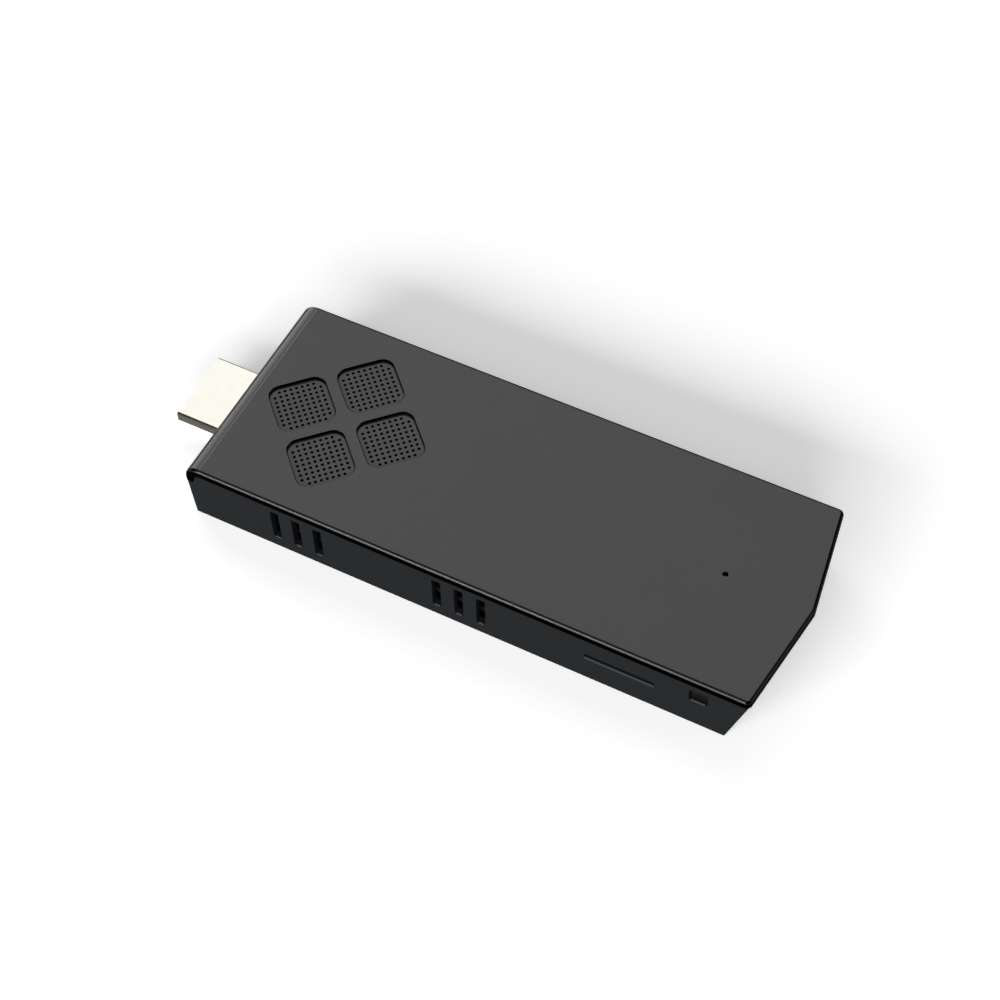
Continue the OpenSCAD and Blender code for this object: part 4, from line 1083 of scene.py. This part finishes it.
@dataclass
class SidePorts(Assembly):
    """The two data ports and the power port on the far side."""

    WEARS: ClassVar[Wears] = {
        Slot.PORT: ("data_port_1_shell", "data_port_2_shell", "power_port_shell"),
        Slot.BLUE_INSULATOR: ("data_port_1_core",),
        Slot.WHITE_INSULATOR: ("data_port_2_core",),
        Slot.BLACK_INSULATOR: ("power_port_core",),
    }

    data_spring: SpringShape = SpringShape(bow_mm=0.35)
    power_spring: SpringShape = SpringShape(bow_mm=0.08, bow_from=0.2)
    bows: Sequence[float] = (-1.0,)

    def build(self) -> None:
        """Dresses the shells and tongues and makes the contact springs."""
        super().build()
        springs = {
            "data_port_1": self.data_spring,
            "data_port_2": self.data_spring,
            "power_port": self.power_spring,
        }
        for port, spring in springs.items():
            ContactRow(port, Run.FAR, spring, self.bows, self.wardrobe).build()


@dataclass
class CardSocket(Assembly):
    """The push-in card socket behind the near wall."""

    WEARS: ClassVar[Wears] = {
        Slot.BLACK_INSULATOR: ("card_socket_base",),
        Slot.PORT: ("card_socket_lid",),
    }

    spring: SpringShape = SpringShape(bow_mm=0.4, bow_from=0.3)
    bows: Sequence[float] = (1.0,)

    def build(self) -> None:
        """Dresses the base and the lid and makes the contact springs."""
        super().build()
        ContactRow("card_socket", Run.NEAR, self.spring, self.bows, self.wardrobe).build()


@dataclass
class PowerButton(Assembly):
    """The power button, its switch and the plunger between them."""

    WEARS: ClassVar[Wears] = {
        Slot.BUTTON: ("power_button",),
        Slot.PORT: ("power_switch",),
        Slot.BLACK_INSULATOR: ("switch_plunger",),
    }


@dataclass
class Indicator(Assembly):
    """The lamp on the board and the light pipe up to the pinhole."""

    WEARS: ClassVar[Wears] = {Slot.LAMP: ("status_lamp",), Slot.ACRYLIC: ("light_pipe",)}


@dataclass
class Cooler(Assembly):
    """The heat sink and the fan under the grille."""

    WEARS: ClassVar[Wears] = {
        Slot.SINK: ("heat_sink",),
        Slot.PAD: ("thermal_pad",),
        Slot.FAN: ("fan_frame", "fan_lid", "fan_rotor"),
        Slot.BEARING: ("fan_bearing",),
        Slot.STATOR: ("fan_stator",),
        Slot.MAGNET: ("fan_magnet",),
        Slot.PORT: ("fan_shaft",),
        Slot.LEAD_RED: ("fan_lead",),
        Slot.WHITE_INSULATOR: ("fan_connector",),
    }


@dataclass
class Board(Assembly):
    """The main board and what is soldered to it."""

    WEARS: ClassVar[Wears] = {
        Slot.BOARD: ("main_board", "wireless_module"),
        Slot.GOLD: ("board_spacers",),
        Slot.CHIP: ("processor", "memory_chips", "storage_chip", "power_chip", "firmware_chip"),
        Slot.COIL: ("power_inductors",),
        Slot.CAPACITOR: ("power_capacitors",),
        Slot.PORT: ("clock_crystal", "wireless_shield"),
        Slot.ANTENNA: ("antenna_strip",),
        Slot.LEAD_BLACK: ("antenna_lead",),
    }


@dataclass(frozen=True)
class Softbox:
    """A flat lamp that faces the object, in metres; one that isn't mirrored is left out of reflections."""

    name: str
    towards: Triple
    width: float
    height: float
    radiance: float
    along: Triple = (1.0, 0.0, 0.0)
    mirrored: bool = True
    distance: float = 2.4

    def build(self) -> None:
        """Hangs the lamp in its direction, with its width along the given axis as near as it goes."""
        away = Vector(self.towards).normalized()
        across = Vector(self.along)
        across = (across - away * across.dot(away)).normalized()
        upright = away.cross(across)
        lamp = bpy.data.lights.new(self.name, "AREA")
        lamp.shape = "RECTANGLE"
        lamp.size = self.width
        lamp.size_y = self.height
        lamp.energy = self.radiance * math.pi * self.width * self.height
        holder = bpy.data.objects.new(self.name, lamp)
        turn = Matrix((across, upright, away)).transposed().to_4x4()
        holder.matrix_world = Matrix.Translation(away * self.distance) @ turn
        holder.visible_glossy = self.mirrored
        bpy.context.scene.collection.objects.link(holder)
        LOG.info("lamp %s at radiance %.2f", self.name, self.radiance)


@dataclass
class Studio:
    """The pale floor, the soft lamps and the room around them."""

    floor_colour: Colour = (0.90, 0.90, 0.90)
    floor_roughness: float = 0.9
    floor_lift: float = 0.36
    floor_radius: float = 3.0
    floor_gap_mm: float = 0.02
    floor_rings: int = 24
    floor_columns: int = 96
    horizon: float = 0.9
    ceiling: float = 0.03
    fade_span: Span = (0.06, 0.20)
    lamps: Sequence[Softbox] = (
        Softbox("back_panel", (-0.27, 0.50, 0.82), 2.04, 1.4, 1.05),
        Softbox("front_key", (0.02, -0.913, 0.407), 2.8, 0.76, 11.8, mirrored=False),
        Softbox("front_fill", (-0.10, -0.70, 0.70), 2.4, 0.7, 0.5, mirrored=False),
        Softbox("rim_card", (-0.29, -0.87, 0.40), 1.0, 0.4, 4.0),
        Softbox("edge_strip", (0.631, -0.485, 0.606), 0.36, 0.36, 10.0, mirrored=False),
        Softbox("left_panel", (-0.824, 0.476, 0.309), 1.1, 1.29, 2.2, along=(0.5, 0.866, 0.0)),
        Softbox("right_panel", (0.85, 0.34, 0.40), 1.3, 1.1, 0.8, along=(-0.371, 0.929, 0.0)),
    )

    def paper(self) -> bpy.types.Material:
        """Makes the floor's paper.

        Returns:
            A dull pale material that glows a little for rays from the camera and for mirrored rays.
        """
        recipe = Recipe("floor_paper")
        ray = recipe.node("ShaderNodeLightPath").outputs
        kinds = ("Camera", "Glossy", "Transmission")
        seen = recipe.folded("MAXIMUM", *(ray[f"Is {kind} Ray"] for kind in kinds))
        recipe.shader_values(
            Base_Color=scaled(self.floor_colour),
            Roughness=self.floor_roughness,
            Specular_IOR_Level=0.0,
            Emission_Color=(1.0, 1.0, 1.0, 1.0),
            Emission_Strength=recipe.math("MULTIPLY", seen, self.floor_lift),
        )
        return recipe.material

    def floor(self) -> None:
        """Lays the floor, a flat disc of rings whose radius grows by squares from the middle."""
        ring = np.linspace(0.0, 1.0, self.floor_rings)[:, None] ** 2 * self.floor_radius / MM
        turn = np.linspace(0.0, 2.0 * math.pi, self.floor_columns, endpoint=False)[None, :]
        level = np.full_like(ring * turn, -self.floor_gap_mm)
        grid = np.stack([ring * np.cos(turn), ring * np.sin(turn), level], axis=-1)
        faces_up = grid_quads(self.floor_rings, self.floor_columns)[:, [0, 3, 2, 1]]
        mesh = bpy.data.meshes.new("floor")
        mesh.from_pydata((grid.reshape(-1, 3) * MM).tolist(), [], faces_up.tolist())
        mesh.materials.append(self.paper())
        floor = bpy.data.objects.new("floor", mesh)
        bpy.context.scene.collection.objects.link(floor)

    def room(self) -> None:
        """Paints the room: pale at the horizon and dim overhead."""
        world = bpy.data.worlds.new("room")
        bpy.context.scene.world = world
        world.use_nodes = True
        nodes, links = world.node_tree.nodes, world.node_tree.links
        height = nodes.new("ShaderNodeSeparateXYZ")
        links.new(nodes.new("ShaderNodeTexCoord").outputs["Generated"], height.inputs[0])
        fade = nodes.new("ShaderNodeMapRange")
        fade.interpolation_type = "SMOOTHSTEP"
        links.new(height.outputs["Z"], fade.inputs["Value"])
        limits = (*self.fade_span, self.horizon, self.ceiling)
        for name, value in zip(("From Min", "From Max", "To Min", "To Max"), limits):
            fade.inputs[name].default_value = value
        links.new(fade.outputs[0], nodes["Background"].inputs["Color"])

    def build(self) -> None:
        """Sets up the floor, the room and the lamps."""
        self.floor()
        self.room()
        for lamp in self.lamps:
            lamp.build()
        bpy.context.scene.view_settings.view_transform = "Standard"


@dataclass(frozen=True)
class PhotoCamera:
    """The camera at the photograph's angle."""

    place_mm: Triple = (84.938, -157.369, 260.376)
    aim_mm: Triple = (1.326, 1.276, 6.35)
    roll_degrees: float = -1.2157
    lens_mm: float = 67.325
    sensor_mm: float = 36.0
    nearest: float = 0.01

    def build(self) -> None:
        """Stands the camera at its place, turned to its aim and rolled about its axis."""
        camera = bpy.data.cameras.new("photo_camera")
        camera.sensor_width = self.sensor_mm
        camera.lens = self.lens_mm
        camera.clip_start = self.nearest
        ahead = (Vector(self.aim_mm) - Vector(self.place_mm)).normalized()
        level = ahead.cross(Vector((0.0, 0.0, 1.0))).normalized()
        upright = level.cross(ahead)
        roll = math.radians(self.roll_degrees)
        right = level * math.cos(roll) + upright * math.sin(roll)
        above = right.cross(ahead)
        turn = Matrix((right, above, -ahead)).transposed().to_4x4()
        holder = bpy.data.objects.new("photo_camera", camera)
        holder.matrix_world = Matrix.Translation(Vector(self.place_mm) * MM) @ turn
        bpy.context.scene.collection.objects.link(holder)
        bpy.context.scene.camera = holder


def main() -> None:
    """Builds the camera, the studio and every sub-assembly in order."""
    logging.basicConfig(level=logging.INFO, format="%(name)s: %(message)s")
    wardrobe = Wardrobe()
    PhotoCamera().build()
    Studio().build()
    kinds = (Case, VideoPlug, SidePorts, CardSocket, PowerButton, Indicator, Cooler, Board, Fasteners)
    for kind in kinds:
        kind(wardrobe).build()
        LOG.info("built %s", kind.__name__)


if __name__ == "__main__":
    main()
